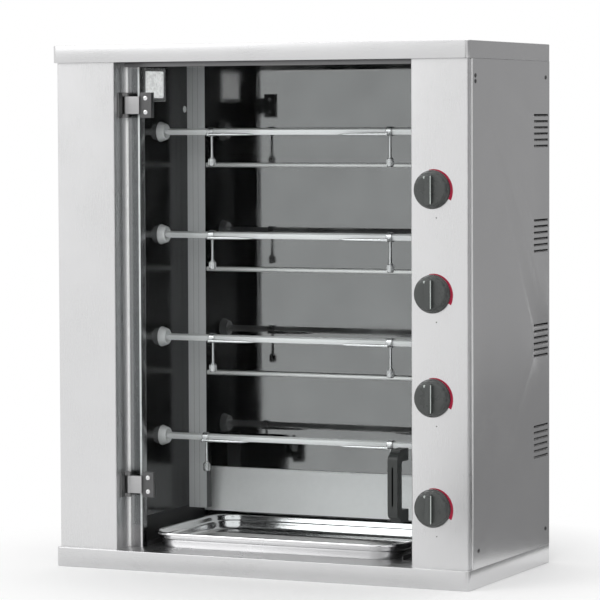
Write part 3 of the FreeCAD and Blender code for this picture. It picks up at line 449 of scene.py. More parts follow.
nodeLook = {
    "liner_left": "shadedLinerSide", "liner_right": "shadedLinerSide", "liner_back": "liner", "lower_back_panel": "liner",
    "liner_top": "liner", "bottom_plate": "galvanised", "back_cover": "galvanised",
    "lamp_housing": "galvanised", "grease_deflector": "tray", "drip_tray": "tray",
    "element_cover_left": "cover", "element_cover_right": "cover", "door_jamb_left": "jamb",
    "door_jamb_right": "jamb", "door_lintel": "casing", "base_pan": "casing", "top_cap": "casing",
    "left_front_panel": "frontUpright", "control_panel": "frontUpright", "left_side_panel": "casing",
    "right_side_panel": "casing", "tray_runner_left": "runnerShade", "tray_runner_right": "runnerShade",
    "hinge_leaves": "hinge", "hinge_clamps": "hinge", "door_magnet": "hinge", "door_glass": "glass",
    "lamp_glass": "ceramic", "lamp_frame": "bright", "lamp_bulb": "ceramic", "terminal_block": "ceramic",
    "gear_motors": "motor", "rotary_switches": "black", "cable_gland": "black", "door_handle": "black",
    "heating_elements": "element", "casing_screws": "bright", "door_screws": "bright",
    "spit_bearings": "bright",
}
for name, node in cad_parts.items():
    key = nodeLook.get(name, "knob" if name.startswith("knob") else "bright")
    node.data.materials.clear()
    node.data.materials.append(look[key])
print("stage: materials")


# A piece from a finished bmesh, riding on its body. Every mesh is built in place, in metres in the row frame.
def finished(name, bm, material, body="casing", nodes=(), smoothAngle=32):
    bmesh.ops.recalc_face_normals(bm, faces=bm.faces)
    mesh = bpy.data.meshes.new(name)
    bm.to_mesh(mesh)
    bm.free()
    made = bpy.data.objects.new(name, mesh)
    scene.collection.objects.link(made)
    mesh.materials.append(look[material])
    mesh.shade_smooth()
    mesh.set_sharp_from_angle(angle=math.radians(smoothAngle))
    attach(made, body)
    if nodes:
        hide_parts(*nodes)
    return made


# Adds a part built in a mesh of its own, so that each operator works on that part alone.
def joined(bm, part, matrix=None):
    if matrix is not None:
        bmesh.ops.transform(part, matrix=matrix, verts=part.verts)
    bmesh.ops.recalc_face_normals(part, faces=part.faces)
    mesh = bpy.data.meshes.new("part")
    part.to_mesh(mesh)
    part.free()
    bm.from_mesh(mesh)
    bpy.data.meshes.remove(mesh)


def softened(part, width, segments=2, least=30):
    sharp = [e for e in part.edges if len(e.link_faces) == 2 and e.calc_face_angle(0) > math.radians(least)]
    bmesh.ops.bevel(part, geom=sharp, offset=width, segments=segments, affect="EDGES", profile=0.5,
                    material=-1, clamp_overlap=True)


def addBlock(bm, low, high, bevel=0.0, segments=2, turn=None):
    part = bmesh.new()
    bmesh.ops.create_cube(part, size=1)
    bmesh.ops.scale(part, vec=Vector(high) - Vector(low), verts=part.verts)
    if bevel:
        softened(part, bevel, segments)
    place = Matrix.Translation((Vector(low) + Vector(high)) / 2)
    joined(bm, part, place @ turn if turn else place)


alongAxis = {"X": Matrix.Rotation(math.pi / 2, 4, "Y"), "Y": Matrix.Rotation(-math.pi / 2, 4, "X"),
             "Z": Matrix()}


# A turned part: a half profile of (radius, distance along the axis) points, spun all the way round.
def addTurned(bm, profile, centre, axis="Z", steps=40, bevel=0.0):
    part = bmesh.new()
    verts = [part.verts.new((radius, 0, height)) for radius, height in profile]
    edges = [part.edges.new(pair) for pair in zip(verts, verts[1:])]
    bmesh.ops.spin(part, geom=verts + edges, cent=(0, 0, 0), axis=(0, 0, 1), angle=2 * math.pi, steps=steps,
                   use_merge=True)
    bmesh.ops.remove_doubles(part, verts=part.verts, dist=0.000001)
    bmesh.ops.dissolve_degenerate(part, edges=part.edges, dist=0.0000005)
    bmesh.ops.recalc_face_normals(part, faces=part.faces)
    if bevel:
        softened(part, bevel)
    joined(bm, part, Matrix.Translation(centre) @ alongAxis[axis])


# A flat outline pushed out along the third direction. Points are (a, b) pairs in that plane.
def pushed(outline, plane, start, end):
    part = bmesh.new()
    spots = {"XY": lambda a, b: (a, b, start), "XZ": lambda a, b: (a, start, b),
             "YZ": lambda a, b: (start, a, b)}[plane]
    along = {"XY": (0, 0, end - start), "XZ": (0, end - start, 0), "YZ": (end - start, 0, 0)}[plane]
    face = part.faces.new([part.verts.new(spots(a, b)) for a, b in outline])
    moved = bmesh.ops.extrude_face_region(part, geom=[face], use_keep_orig=True)
    bmesh.ops.translate(part, vec=along,
                        verts=[v for v in moved["geom"] if isinstance(v, bmesh.types.BMVert)])
    bmesh.ops.recalc_face_normals(part, faces=part.faces)
    return part


# Points along an arc, for outlines with round corners. Angles in degrees.
def arc(centre, radius, start, end, count=8):
    points = []
    for step in range(count + 1):
        angle = math.radians(start + (end - start) * step / count)
        points.append((centre[0] + radius * math.cos(angle), centre[1] + radius * math.sin(angle)))
    return points


def roundedOutline(x0, y0, x1, y1, radius, count=8):
    return (arc((x1 - radius, y0 + radius), radius, -90, 0, count)
            + arc((x1 - radius, y1 - radius), radius, 0, 90, count)
            + arc((x0 + radius, y1 - radius), radius, 90, 180, count)
            + arc((x0 + radius, y0 + radius), radius, 180, 270, count))


# Rings of the same number of points, one after the other, joined by quads, and closed at either end if asked.
def addRings(bm, rings, closeFirst=False, closeLast=False):
    part = bmesh.new()
    loops = [[part.verts.new(spot) for spot in ring] for ring in rings]
    for one, two in zip(loops, loops[1:]):
        for i in range(len(one)):
            part.faces.new((one[i - 1], one[i], two[i], two[i - 1]))
    if closeFirst:
        part.faces.new(loops[0])
    if closeLast:
        part.faces.new(loops[-1])
    joined(bm, part)


# A copy of a CAD node's own mesh, merged, with its sharp edges eased.
def easedNode(name, node, material, width, body="casing", least=30, smoothAngle=32):
    bm = bmesh.new()
    bm.from_mesh(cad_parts[node].data)
    bmesh.ops.remove_doubles(bm, verts=bm.verts, dist=0.000005)
    bmesh.ops.dissolve_limit(bm, angle_limit=math.radians(1), verts=bm.verts, edges=bm.edges)
    softened(bm, width, 2, least)
    return finished(name, bm, material, body, [node], smoothAngle)


# Gives the faces that a test picks out another finish.
def refinished(made, material, chosen):
    made.data.materials.append(look[material])
    for face in made.data.polygons:
        if chosen(face.center, face.normal):
            face.material_index = 1


# Pan head with a cross recess, sitting on a face and pointing along an axis.
def addScrew(bm, centre, axis, radius, proud, facing=1):
    profile = [(0, 0), (radius, 0), (radius, proud * 0.25), (radius * 0.86, proud * 0.72),
               (radius * 0.55, proud * 0.95), (0.0, proud)]
    addTurned(bm, [(r, h * facing) for r, h in profile], centre, axis, 24)
    slot = radius * 0.12
    for long, short in ((radius * 0.55, slot), (slot, radius * 0.55)):
        spot = Vector((long, short, proud * 0.06))
        part = bmesh.new()
        bmesh.ops.create_cube(part, size=2)
        bmesh.ops.scale(part, vec=spot, verts=part.verts)
        joined(bm, part, Matrix.Translation(centre) @ alongAxis[axis]
               @ Matrix.Translation((0, 0, proud * facing)))


print("stage: helpers")

casing = {
    "slabEdge": 0.0011, "slabCorner": 0.009, "slabInset": 0.008, "sheet": 0.0015, "bend": 0.0025,
    "sheetEdge": 0.0003, "outerReturn": 0.013,
}


# Base slab and top cap: closed folded pans with rounded front corners, softened along every edge.
def makeSlab(name, node, underside):
    low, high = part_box(node)
    r = casing["slabCorner"]
    outline = ([(low.x, high.y)] + arc((low.x + r, low.y + r), r, 180, 270, 10)
               + arc((high.x - r, low.y + r), r, 270, 360, 10) + [(high.x, high.y)])
    part = pushed(outline, "XY", low.z, high.z)
    softened(part, casing["slabEdge"], 3)
    for face in part.faces:
        if face.normal.z < -0.99 and face.calc_area() > 0.1:
            bmesh.ops.inset_region(part, faces=[face], thickness=casing["slabInset"],
                                   depth=-underside)
            break
    bm = bmesh.new()
    joined(bm, part)
    made = finished(name, bm, "casing", nodes=[node])
    refinished(made, "side", lambda centre, normal: abs(normal.x) > 0.9)
    return made


makeSlab("base_slab", "base_pan", 0.0016)
makeSlab("cap_slab", "top_cap", 0.0005)


# Front columns: one sheet folded round the face, with its deep return beside the glass.
def makeColumn(name, node, deepSide):
    low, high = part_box(node)
    r, s, t = casing["bend"], 1 if deepSide == "left" else -1, casing["sheet"]
    inner, outer = (low.x, high.x) if deepSide == "left" else (high.x, low.x)

    def path(depth):
        first = [(inner + s * (r - (r - depth) * math.cos(a)), low.y + r - (r - depth) * math.sin(a))
                 for a in (math.radians(15 * step) for step in range(7))]
        second = [(outer - s * (r - (r - depth) * math.cos(a)), low.y + r - (r - depth) * math.sin(a))
                  for a in (math.radians(15 * step) for step in range(6, -1, -1))]
        return [(inner + s * depth, high.y)] + first + second + [(outer - s * depth,
                                                                  low.y + casing["outerReturn"])]

    bm = bmesh.new()
    joined(bm, pushed(path(0) + path(t)[::-1], "XY", low.z, high.z))
    return finished(name, bm, "frontUpright", nodes=[node])


makeColumn("left_column", "left_front_panel", "right")
makeColumn("right_column", "control_panel", "left")
easedNode("left_side", "left_side_panel", "casing", casing["sheetEdge"], smoothAngle=16)
easedNode("right_side", "right_side_panel", "side", casing["sheetEdge"], smoothAngle=16)
easedNode("rear_cover", "back_cover", "galvanised", casing["sheetEdge"])

jamb = {"edge": 0.0006, "plateFront": 0.0594}
plateFront = frontY + jamb["plateFront"]
# Faces behind the plate front take the darker copy: painted shade deeper in the opening.
for word in ("left", "right"):
    post = easedNode("jamb_" + word, "door_jamb_" + word, "jamb", jamb["edge"])
    refinished(post, "jambShaded", lambda centre, normal: centre.y > plateFront)

# The lintel takes the dark copy: painted shade.
easedNode("lintel", "door_lintel", "lintel", 0.0003)
# The sideways faces of each element cover take the same darker copy: painted shade on those faces.
for word in ("left", "right"):
    cover = easedNode("cover_" + word, "element_cover_" + word, "cover", 0.0004,
                      smoothAngle=16)
    refinished(cover, "shadedLinerSide", lambda centre, normal: abs(normal.x) > 0.7)
easedNode("fat_plate", "grease_deflector", "fatPlate", 0.0003, smoothAngle=16)

louvre = {"tilt": 32, "depth": 0.0085, "thickness": 0.001, "rows": 6, "pitch": 0.0114, "length": 0.073,
          "fromRear": 0.045, "sunk": 0.0007, "raised": 0.0005}


# Pressed louvre blades just inside the air slots of the right side.
def makeLouvres():
    bm = bmesh.new()
    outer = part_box("right_side_panel")[1].x - casing["sheet"]
    spits = [(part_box("spit_%d" % n)[0].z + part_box("spit_%d" % n)[1].z) / 2 for n in (1, 2, 3, 4)]
    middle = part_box("back_cover")[1].y - louvre["fromRear"]
    lean = Matrix.Rotation(math.radians(louvre["tilt"]), 4, "Y")
    half = Vector((louvre["depth"], louvre["length"], louvre["thickness"])) / 2
    for height in spits:
        for row in range(louvre["rows"]):
            z = height + (row - (louvre["rows"] - 1) / 2) * louvre["pitch"]
            centre = Vector((outer - louvre["depth"] / 2 + louvre["sunk"], middle, z + louvre["raised"]))
            addBlock(bm, centre - half, centre + half, 0.0002, 1, lean)
    return finished("side_louvres", bm, "louvre")


makeLouvres()


sideScrew = {
    "radius": 0.004, "proud": 0.0013, "fromFront": 0.032, "lowerFromFront": 0.046, "fromRear": 0.020,
    "upper": 0.030, "second": 0.040, "lower": 0.031,
}
wallScrew = {"radius": 0.0064, "proud": 0.0022, "fromFront": 0.288, "height": 0.857}


# Pan heads along the edges of the side panels.
def makeSideScrews(v):
    bm = bmesh.new()
    left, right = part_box("left_side_panel")[0].x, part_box("right_side_panel")[1].x
    top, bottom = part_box("top_cap")[0].z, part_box("base_pan")[1].z
    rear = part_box("back_cover")[1].y
    spots = [
        (frontY + v["fromFront"], top - v["upper"]),
        (frontY + v["fromFront"], top - v["second"]),
        (frontY + v["lowerFromFront"], bottom + v["lower"]),
        (rear - v["fromRear"], top - v["upper"]),
        (rear - v["fromRear"], bottom + v["lower"]),
    ]
    for y, z in spots:
        addScrew(bm, (left, y, z), "X", v["radius"], v["proud"], -1)
        addScrew(bm, (right, y, z), "X", v["radius"], v["proud"], 1)
    return finished("side_screws", bm, "darkScrew", nodes=["casing_screws"])


# A screw that holds the left chamber wall.
def makeWallScrew(v):
    bm = bmesh.new()
    centre = (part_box("liner_left")[1].x, frontY + v["fromFront"], v["height"])
    addScrew(bm, centre, "X", v["radius"], v["proud"])
    return finished("wall_screw", bm, "barSteel")


makeSideScrews(sideScrew)
makeWallScrew(wallScrew)

element = {"radius": 0.0043, "collar": 0.007, "collarLength": 0.009, "nut": 0.0092, "nutLength": 0.004}


# Straight heating tubes with a collar and a hexagon nut at each wall.
def makeElements():
    bm = bmesh.new()
    low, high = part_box("heating_elements")
    y = (low.y + high.y) / 2
    top, bottom = high.z - element["collar"], low.z + element["collar"]
    for z in (top, (top + bottom) / 2, bottom):
        r, c, n = element["radius"], element["collar"], element["collarLength"]
        length = high.x - low.x
        profile = [(0, 0), (c - 0.0004, 0), (c, 0.0004), (c, n - 0.0008), (c - 0.0008, n), (r, n),
                   (r, length - n), (c - 0.0008, length - n), (c, length - n + 0.0008), (c, length - 0.0004),
                   (c - 0.0004, length), (0, length)]
        addTurned(bm, profile, (low.x, y, z), "X", 28)
        for x in (low.x + n, high.x - n - element["nutLength"]):
            addTurned(bm, [(0, 0), (element["nut"] * 0.9, 0), (element["nut"] * 0.9, element["nutLength"]),
                           (0, element["nutLength"])], (x, y, z), "X", 6, 0.0005)
    return finished("heating_tubes", bm, "element", nodes=["heating_elements"])


makeElements()

lamp = {"rim": 0.007, "depth": 0.003, "round": 0.0012, "ribs": 13, "ribEdge": 0.006, "screw": 0.0028}


# Lamp window: a pressed frame with its screws and a ribbed pane.
def makeLamp():
    low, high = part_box("lamp_frame")
    bm = bmesh.new()
    outer = roundedOutline(low.y, low.z, high.y, high.z, 0.004, 5)
    inner = roundedOutline(low.y + lamp["rim"], low.z + lamp["rim"], high.y - lamp["rim"],
                           high.z - lamp["rim"], 0.003, 5)
    rings = [[(low.x, a, b) for a, b in outer], [(high.x, a, b) for a, b in outer],
             [(high.x, a, b) for a, b in inner], [(low.x + lamp["depth"], a, b) for a, b in inner]]
    addRings(bm, rings)
    softened(bm, lamp["round"], 3)
    for y in (low.y + lamp["rim"] / 2, high.y - lamp["rim"] / 2):
        addScrew(bm, (high.x - 0.0008, y, (low.z + high.z) / 2), "X", lamp["screw"], 0.0012)
    finished("lamp_rim", bm, "bright", nodes=["lamp_frame"])
    glassLow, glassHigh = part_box("lamp_glass")
    bm = bmesh.new()
    addBlock(bm, glassLow, glassHigh - Vector((0.0008, 0, 0)), 0.0003)
    edge = lamp["ribEdge"]
    span = (glassHigh.y - glassLow.y - 2 * edge) / lamp["ribs"]
    tall = glassHigh.z - glassLow.z - 2 * edge
    for rib in range(lamp["ribs"]):
        y = glassLow.y + edge + (rib + 0.5) * span
        addTurned(bm, [(0, 0), (span * 0.42, 0), (span * 0.42, tall), (0, tall)],
                  (glassHigh.x - 0.0012, y, glassLow.z + edge), "Z", 12)
    finished("lamp_pane", bm, "lampPane", nodes=["lamp_glass"])


makeLamp()

bearing = {"outer": 0.019, "mouth": 0.0140, "proud": 0.0135, "bore": 0.00405, "tail": 0.0086,
           "tailLength": 0.014}


# Left bearings: dished rings on the wall.
def makeBearings():
    bm = bmesh.new()
    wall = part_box("liner_left")[1].x
    for n in (1, 2, 3, 4):
        low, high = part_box("spit_%d" % n)
        centre = (wall, (low.y + high.y) / 2, (low.z + high.z) / 2)
        profile = [(bearing["bore"], -bearing["tailLength"]), (bearing["tail"], -bearing["tailLength"]),
                   (bearing["tail"], 0), (bearing["outer"], 0),
                   (bearing["outer"], 0.0012), (bearing["mouth"] + 0.0008, bearing["proud"] - 0.0006),
                   (bearing["mouth"], bearing["proud"]), (bearing["mouth"] - 0.0018, bearing["proud"]),
                   (0.0095, 0.0078), (0.0075, 0.0030), (0.0066, 0.0015), (bearing["bore"], 0.0015)]
        addTurned(bm, profile + profile[:1], centre, "X", 48)
    return finished("bearing_rings", bm, "barSteel", nodes=["spit_bearings"],
                    smoothAngle=28)


makeBearings()
print("stage: casing and chamber")

spit = {"edge": 0.0006, "turn": 18, "pinLength": 0.0235, "pinRadius": 0.004, "shoulder": 0.0049}


def spitCentre(number):
    low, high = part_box("spit_%d" % number)
    return low, high, (low.y + high.y) / 2, (low.z + high.z) / 2


# Spits: a square bar a little turned, with a turned pin and shoulder at the left end.
def makeSpit(number):
    low, high, y, z = spitCentre(number)
    bm = bmesh.new()
    turn = math.radians(spit["turn"])
    side = (high.z - low.z) / (math.cos(turn) + math.sin(turn))
    start = low.x + spit["pinLength"] - 0.0005
    part = bmesh.new()
    bmesh.ops.create_cube(part, size=1)
    bmesh.ops.scale(part, vec=(high.x - start, side, side), verts=part.verts)
    softened(part, spit["edge"], 2)
    joined(bm, part, Matrix.Translation(((start + high.x) / 2, y, z)) @ Matrix.Rotation(turn, 4, "X"))
    r = spit["pinRadius"]
    profile = [(0, 0), (r - 0.0012, 0), (r, 0.0015), (r, spit["pinLength"] - 0.006),
               (spit["shoulder"], spit["pinLength"] - 0.004), (spit["shoulder"], spit["pinLength"] + 0.001),
               (0, spit["pinLength"] + 0.002)]
    addTurned(bm, profile, (low.x, y, z), "X", 32)
    return finished("spit_bar_%d" % number, bm, "barSteel", "spit_unit_%d" % number, ["spit_%d" % number])


hub = {
    "plate": 0.017, "plateFrom": 0.0030, "plateTo": 0.0110, "plateRound": 0.001, "ring": 0.0112,
    "socket": 0.0074, "socketDepth": 0.0095, "shaft": 0.008, "screws": 3, "screwCircle": 0.0139,
    "screwTurn": 0.4, "screwRadius": 0.0022, "screwProud": 0.0010,
}


# Drive hubs: a turned plate with three screws and a square socket ring.
def makeHub(number):
    low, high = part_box("drive_hub_%d" % number)
    y, z = (low.y + high.y) / 2, (low.z + high.z) / 2
    bm = bmesh.new()
    length = high.x - low.x
    start, end, rounding = hub["plateFrom"], hub["plateTo"], hub["plateRound"]
    profile = [(hub["socket"], 0), (hub["ring"] - 0.0007, 0), (hub["ring"], 0.0008), (hub["ring"], start),
               (hub["plate"] - rounding, start), (hub["plate"], start + rounding),
               (hub["plate"], end - rounding), (hub["plate"] - rounding, end), (hub["shaft"], end),
               (hub["shaft"], length - 0.0008), (hub["shaft"] - 0.0008, length), (0, length),
               (0, hub["socketDepth"]), (hub["socket"], hub["socketDepth"])]
    addTurned(bm, profile + profile[:1], (low.x, y, z), "X", 40)
    for turn in range(hub["screws"]):
        angle = 2 * math.pi * turn / hub["screws"] + hub["screwTurn"]
        across, up = hub["screwCircle"] * math.cos(angle), hub["screwCircle"] * math.sin(angle)
        addScrew(bm, (low.x + start, y + across, z + up), "X", hub["screwRadius"], hub["screwProud"], -1)
    return finished("hub_%d" % number, bm, "bright", "spit_unit_%d" % number, ["drive_hub_%d" % number])


fork = {
    "block": 0.012, "blockRadius": 0.00907, "rod": 0.0025, "rodLength": 0.041, "head": 0.0064,
    "headLength": 0.017, "prongLength": 0.096, "prongSpread": 0.017, "prongDrop": 0.005, "prongRoot": 0.003,
    "prongTip": 0.0007, "knurls": 18, "knurl": 0.0004, "bore": 0.0074, "arm": 0.0030, "screwTop": 0.0072,
}


# Fork: a clamping block on the bar, two drawn prongs welded to a cross arm, and a hanging thumb screw.
def makeFork(number, word, inward):
    node = "fork_%d_%s" % (number, word)
    low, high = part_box(node)
    y, z = spitCentre(number)[2:]
    x = low.x + fork["block"] / 2 if inward > 0 else high.x - fork["block"] / 2
    bm = bmesh.new()
    half, r = fork["block"] / 2, fork["blockRadius"]
    bore, arm, knurl = fork["bore"], fork["arm"], fork["knurl"]
    addTurned(bm, [(bore, -half), (r - 0.0007, -half), (r, -half + 0.001), (r, half - 0.001),
                   (r - 0.0007, half), (bore, half), (bore, -half)], (x, y, z), "X", 36)
    addBlock(bm, (x - arm, y - fork["prongSpread"] - arm, z - fork["prongDrop"] - arm),
             (x + arm, y + fork["prongSpread"] + arm, z - fork["prongDrop"] + arm), 0.0016, 3)
    for side in (-1, 1):
        root, tip, length = fork["prongRoot"], fork["prongTip"], fork["prongLength"]
        profile = [(0, 0), (root, 0), (root, length * 0.12), (root * 0.93, length * 0.5),
                   (root * 0.72, length * 0.84), (tip, length * 0.985), (0, length)]
        addTurned(bm, [(radius, step * inward) for radius, step in profile],
                  (x, y + side * fork["prongSpread"], z - fork["prongDrop"]), "X", 20)
    top = z - fork["screwTop"]
    rodEnd, headEnd = fork["rodLength"], fork["rodLength"] + fork["headLength"]
    h = fork["head"]
    addTurned(bm, [(0, 0), (fork["rod"], 0), (fork["rod"], -rodEnd * 0.55),
                   (fork["rod"] * 1.12, -rodEnd * 0.62), (fork["rod"] * 1.12, -rodEnd), (h * 0.72, -rodEnd),
                   (h * 0.72, -rodEnd - 0.0012), (h, -rodEnd - 0.0028), (h, -headEnd + 0.0014),
                   (h - 0.0014, -headEnd), (0, -headEnd)], (x, y, top), "Z", 36)
    for turn in range(fork["knurls"]):
        angle = 2 * math.pi * turn / fork["knurls"]
        spot = Vector((x + h * math.cos(angle), y + h * math.sin(angle), top))
        addBlock(bm, spot + Vector((-knurl, -knurl, -headEnd + 0.0022)),
                 spot + Vector((knurl, knurl, -rodEnd - 0.0034)), 0.0001, 1)
    return finished("fork_%s_%d" % (word, number), bm, "bright", "fork_unit_%d_%s" % (number, word), [node])


for number in (1, 2, 3, 4):
    makeSpit(number)
    makeHub(number)
    makeFork(number, "left", 1)
    makeFork(number, "right", -1)
print("stage: spits and forks")

door = {
    "glassRound": 0.0016, "plateStart": 0.0265, "screwRadius": 0.0046, "screwProud": 0.0020,
    "screwLevel": 0.0235, "screwAside": 0.013, "stem": 0.003, "stemLength": 0.0124, "plateFront": 0.005,
    "handleScrew": 0.005, "handleScrewProud": 0.0013, "handleLevel": 0.008, "handleBack": 0.006,
}


# Door glass with ground edges.
def makeGlass():
    low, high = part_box("door_glass")
    bm = bmesh.new()
    addBlock(bm, low, high, door["glassRound"], 3)
    return finished("door_pane", bm, "glass", "door", ["door_glass"], 60)


# Hinges: leaves with their pins on the post, clamps with barrels on the glass.
def makeHinges():
    easedNode("hinge_posts", "hinge_leaves", "hingeLeaf", 0.0005)
    grips = easedNode("hinge_grips", "hinge_clamps", "hinge", 0.0007, "door")
    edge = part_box("door_glass")[0].x + door["plateStart"]
    refinished(grips, "hingePlain", lambda centre, normal: centre.x < edge)
    bm = bmesh.new()
    low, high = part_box("hinge_clamps")
    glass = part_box("door_glass")[0]
    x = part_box("door_screws")[0].x + door["screwRadius"]
    stem, length = door["stem"], door["stemLength"]
    for level in (low.z + door["screwLevel"], high.z - door["screwLevel"]):
        for side in (-door["screwAside"], door["screwAside"]):
            spot = (x, glass.y - door["plateFront"], level + side)
            addScrew(bm, spot, "Y", door["screwRadius"], door["screwProud"], -1)
            addTurned(bm, [(0, 0), (stem, 0), (stem, length), (0, length)], spot, "Y", 24)
    handleLow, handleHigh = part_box("door_handle")
    middle = (handleLow.x + handleHigh.x) / 2
    reach = door["handleBack"]
    for z in (handleLow.z + door["handleLevel"], handleHigh.z - door["handleLevel"]):
        addScrew(bm, (middle, glass.y + reach, z), "Y", door["handleScrew"], door["handleScrewProud"], 1)
        addTurned(bm, [(0, 0), (stem, 0), (stem, 2 * reach), (0, 2 * reach)], (middle, glass.y - reach, z),
                  "Y", 24)
    return finished("door_fixings", bm, "bright", "door", ["door_screws"])


handle = {
    "gripDepth": 0.021, "foot": 0.022, "corner": 0.013, "shoulder": 0.007, "fillet": 0.003, "round": 0.0042,
    "rib": 0.0011, "ribHalf": 0.0026, "ribInset": 0.030, "ribDepth": 0.004,
}


# Handle: a moulded bow with sloping shoulders, a rounded grip and a raised rib down its face.
def makeHandle():
    low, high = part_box("door_handle")
    bm = bmesh.new()
    c, shoulder, fillet = handle["corner"], handle["shoulder"], handle["fillet"]
    inner = low.y + handle["gripDepth"]
    footLow, footHigh = low.z + handle["foot"], high.z - handle["foot"]
    outline = ([(low.y, low.z + shoulder + c)] + arc((low.y + c, low.z + shoulder + c), c, 180, 262, 6)
               + [(inner - 0.006, low.z + 0.001), (inner - 0.001, low.z), (high.y, low.z),
                  (high.y, footLow), (inner + 0.001, footLow)]
               + arc((inner + fillet, footLow + 0.005), fillet, 240, 180, 3)
               + arc((inner + fillet, footHigh - 0.005), fillet, 180, 120, 3)
               + [(inner + 0.001, footHigh), (high.y, footHigh), (high.y, high.z),
                  (inner - 0.001, high.z), (inner - 0.006, high.z - 0.001)]
               + arc((low.y + c, high.z - shoulder - c), c, 98, 180, 6))
    part = pushed(outline, "YZ", low.x, high.x)
    sides = [e for e in part.edges if len(e.link_faces) == 2 and e.calc_face_angle(0) > 1.2
             and abs(e.verts[0].co.x - e.verts[1].co.x) < 1e-6]
    bmesh.ops.bevel(part, geom=sides, offset=handle["round"], segments=4, affect="EDGES", profile=0.5,
                    material=-1, clamp_overlap=True)
    joined(bm, part)
    middle = (low.x + high.x) / 2
    addBlock(bm, (middle - handle["ribHalf"], low.y, low.z + handle["ribInset"]),
             (middle + handle["ribHalf"], low.y + handle["ribDepth"], high.z - handle["ribInset"]),
             handle["rib"], 2)
    return finished("handle_bow", bm, "black", "door", ["door_handle"], 45)


makeGlass()
makeHinges()
makeHandle()
easedNode("magnet", "door_magnet", "hinge", 0.0006)
print("stage: door")

tray = {
    "lip": 0.009, "corner": 0.062, "step": 0.013, "sheet": 0.0012, "draft": 0.003, "foot": 0.006,
    "count": 12,
}


# Drip tray: a drawn pan with a rolled rim, a ledge below it, and rounded walls and floor.
def makeTray():
    low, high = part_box("drip_tray")
    bm = bmesh.new()
    s, top, bottom = tray["sheet"], high.z, low.z
    lip, step, draft, foot = tray["lip"], tray["step"], tray["draft"], tray["foot"]
    # Inset from the outer edge, and height: up the outside of the rim, over it and down inside.
    section = [
        (0.0012, top - 0.0052), (0.0001, top - 0.0046), (0.0000, top - 0.0030), (0.0004, top - 0.0012),
        (0.0016, top - 0.0002), (0.0032, top), (lip - 0.0022, top - 0.0004), (lip - 0.0004, top - 0.0016),
        (lip + s * 0.4, top - 0.0040), (lip + s, top - step + 0.0030),
        (lip + s + 0.0006, top - step + s + 0.0006), (lip + s + 0.0024, top - step + s),
        (lip + draft + s - 0.0002, top - step + s - 0.0010), (lip + draft + s + 0.0006, top - step - 0.0030),
        (lip + draft + s + 0.0022, bottom + s + foot), (lip + draft + s + 0.0040, bottom + s + foot * 0.3),
        (lip + draft + s + 0.0085, bottom + s), (lip + draft + s + 0.0090, bottom),
        (lip + draft + 0.0034, bottom), (lip + draft + 0.0022, bottom + foot * 0.35),
        (lip + draft + 0.0008, bottom + foot), (lip + draft - 0.0004, top - step - 0.0040),
        (lip + draft - 0.0012, top - step - 0.0006), (lip + 0.0004, top - step + 0.0002),
        (lip, top - step + 0.0026), (lip - 0.0010, top - 0.0056), (lip - 0.0026, top - 0.0024),
        (0.0034, top - 0.0016), (0.0018, top - 0.0024), (0.0014, top - 0.0044),
    ]

    def ring(inset, z):
        outline = roundedOutline(low.x + inset, low.y + inset, high.x - inset, high.y - inset,
                                 tray["corner"] - inset, tray["count"])
        return [(x, y, z) for x, y in outline]

    inner = section[:17]
    outer = section[17:]
    addRings(bm, [ring(*spot) for spot in outer] + [ring(*spot) for spot in inner], True, True)
    pan = finished("tray_pan", bm, "tray", "tray", ["drip_tray"], 50)
    middle = (low + high) / 2
    half = (high - low) / 2

    def outside(centre, normal):
        away = Vector((centre.x - middle.x, (centre.y - middle.y) * half.x / half.y, 0))
        return centre.z < top - 0.005 and normal.dot(away) > 0.0

    # Outward faces below the rim take the darker copy: painted shade.
    refinished(pan, "trayOutsideShaded", outside)
    # Upward faces of the floor take the darker copy: painted dark reflection.
    pan.data.materials.append(look["trayFloorShaded"])
    for face in pan.data.polygons:
        if face.normal.z > 0.8 and face.center.z < bottom + 0.004:
            face.material_index = 2
    return pan


makeTray()
print("stage: tray")

knob = {
    "skirt": 0.0345, "body": 0.0322, "face": 0.0305, "flutes": 12, "ridgeHalf": 0.0064, "ridgeReach": 0.0268,
    "ridgeEdge": 0.0018, "glintHalf": 0.0008, "glintReach": 0.0252, "glintAside": 0.0053,
    "dot": (-0.0098, 0.0215, 0.0028), "faceDepth": 0.0092, "fluteFrom": 0.028, "fluteDepth": 0.0012,
}


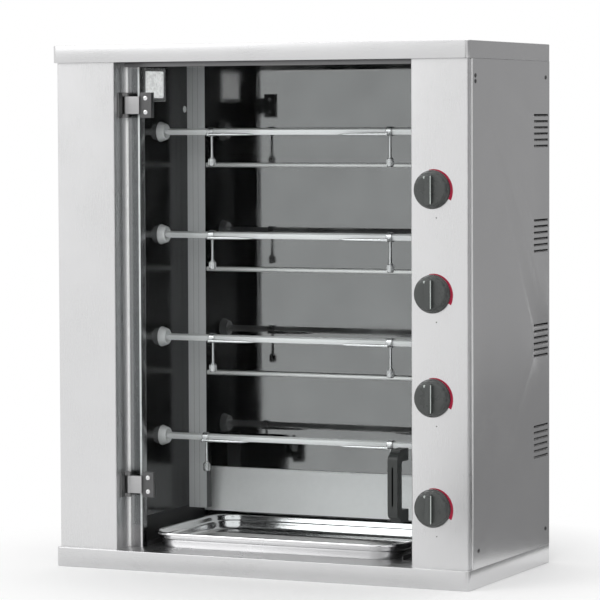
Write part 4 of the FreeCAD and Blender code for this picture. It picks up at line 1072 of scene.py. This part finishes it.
# Control knob: skirt, fluted body with a domed face, a grip ridge across it, and a pale line and dot painted
# on as highlights.
def makeKnob(number):
    low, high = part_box("knob_%d" % number)
    x, z = (low.x + high.x) / 2, (low.z + high.z) / 2
    bm = bmesh.new()
    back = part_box("control_panel")[0].y - 0.0008
    front = low.y + knob["faceDepth"]
    profile = [(0, back), (knob["skirt"] - 0.0010, back), (knob["skirt"], back - 0.0010),
               (knob["skirt"] - 0.0008, back - 0.0032), (knob["skirt"] - 0.0018, back - 0.0044),
               (knob["body"], back - 0.0052), (knob["body"] - 0.0004, back - 0.0080),
               (knob["face"], front + 0.0014), (knob["face"] - 0.0022, front + 0.0003),
               (knob["face"] - 0.0050, front), (knob["face"] * 0.5, front - 0.0006), (0, front - 0.0008)]
    addTurned(bm, [(r, y) for r, y in profile], (x, 0, z), "Y", 96)
    for vert in bm.verts:
        away = Vector((vert.co.x - x, 0, vert.co.z - z))
        if away.length > knob["fluteFrom"] and vert.co.y < back - 0.0048:
            wave = 0.5 + 0.5 * math.cos(knob["flutes"] * math.atan2(away.z, away.x))
            vert.co -= away.normalized() * knob["fluteDepth"] * wave ** 3
    ridge = knob["ridgeHalf"]
    reach = knob["ridgeReach"]
    outline = ([(x - ridge, z - reach + ridge)] + arc((x, z - reach + ridge), ridge, 180, 360, 8)
               + arc((x, z + reach - ridge), ridge, 0, 180, 8))
    part = pushed(outline, "XZ", low.y, front + 0.004)
    softened(part, knob["ridgeEdge"], 3)
    joined(bm, part)
    body = finished("knob_body_%d" % number, bm, "knob", "knob_unit_%d" % number, ["knob_%d" % number],
                    38)
    # Painted highlights: a pale line along the ridge's right edge and a pale glint dot on the upper left of
    # the face.
    line = bmesh.new()
    middle = x + knob["glintAside"]
    addBlock(line, (middle - knob["glintHalf"], low.y - 0.00004, z - knob["glintReach"]),
             (middle + knob["glintHalf"], low.y + 0.0008, z + knob["glintReach"]), 0.0002, 1)
    across, up, r = knob["dot"]
    addTurned(line, [(0, -0.0006), (r * 0.6, -0.0004), (r, 0.0006), (r, 0.002), (0, 0.002)],
              (x + across, front - 0.0004, z + up), "Y", 20)
    finished("knob_line_%d" % number, line, "paintedGlint", "knob_unit_%d" % number)
    return body


scale = {
    "inner": 0.0347, "outer": 0.0406, "from": 100, "to": -28, "thin": 0.0010, "growth": 0.8, "steps": 40,
    "lift": 0.00005, "dotRadius": 0.0012, "dotAside": 0.008, "dotBelow": 0.050,
}


# Printed scale round each knob: a red arc that grows thicker clockwise, and a small dot below.
def makeScale(number):
    low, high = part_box("knob_%d" % number)
    x, z = (low.x + high.x) / 2, (low.z + high.z) / 2
    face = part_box("control_panel")[0].y
    outline, steps = [], scale["steps"]
    growing = scale["outer"] - scale["inner"] - scale["thin"]
    for step in range(steps + 1):
        angle = math.radians(scale["from"] + (scale["to"] - scale["from"]) * step / steps)
        outline.append((x + scale["inner"] * math.cos(angle), z + scale["inner"] * math.sin(angle)))
    for step in range(steps, -1, -1):
        angle = math.radians(scale["from"] + (scale["to"] - scale["from"]) * step / steps)
        reach = scale["inner"] + scale["thin"] + growing * (step / steps) ** scale["growth"]
        outline.append((x + reach * math.cos(angle), z + reach * math.sin(angle)))
    bm = bmesh.new()
    joined(bm, pushed(outline, "XZ", face - scale["lift"], face + 0.0002))
    finished("scale_arc_%d" % number, bm, "printRed")
    bm = bmesh.new()
    addTurned(bm, [(0, 0), (scale["dotRadius"], 0), (scale["dotRadius"], 0.0003), (0, 0.0003)],
              (x + scale["dotAside"], face - scale["lift"], z - scale["dotBelow"]), "Y", 20)
    finished("scale_dot_%d" % number, bm, "printDark")


for number in (1, 2, 3, 4):
    makeKnob(number)
    makeScale(number)
print("stage: knobs")

print("stage: finished")
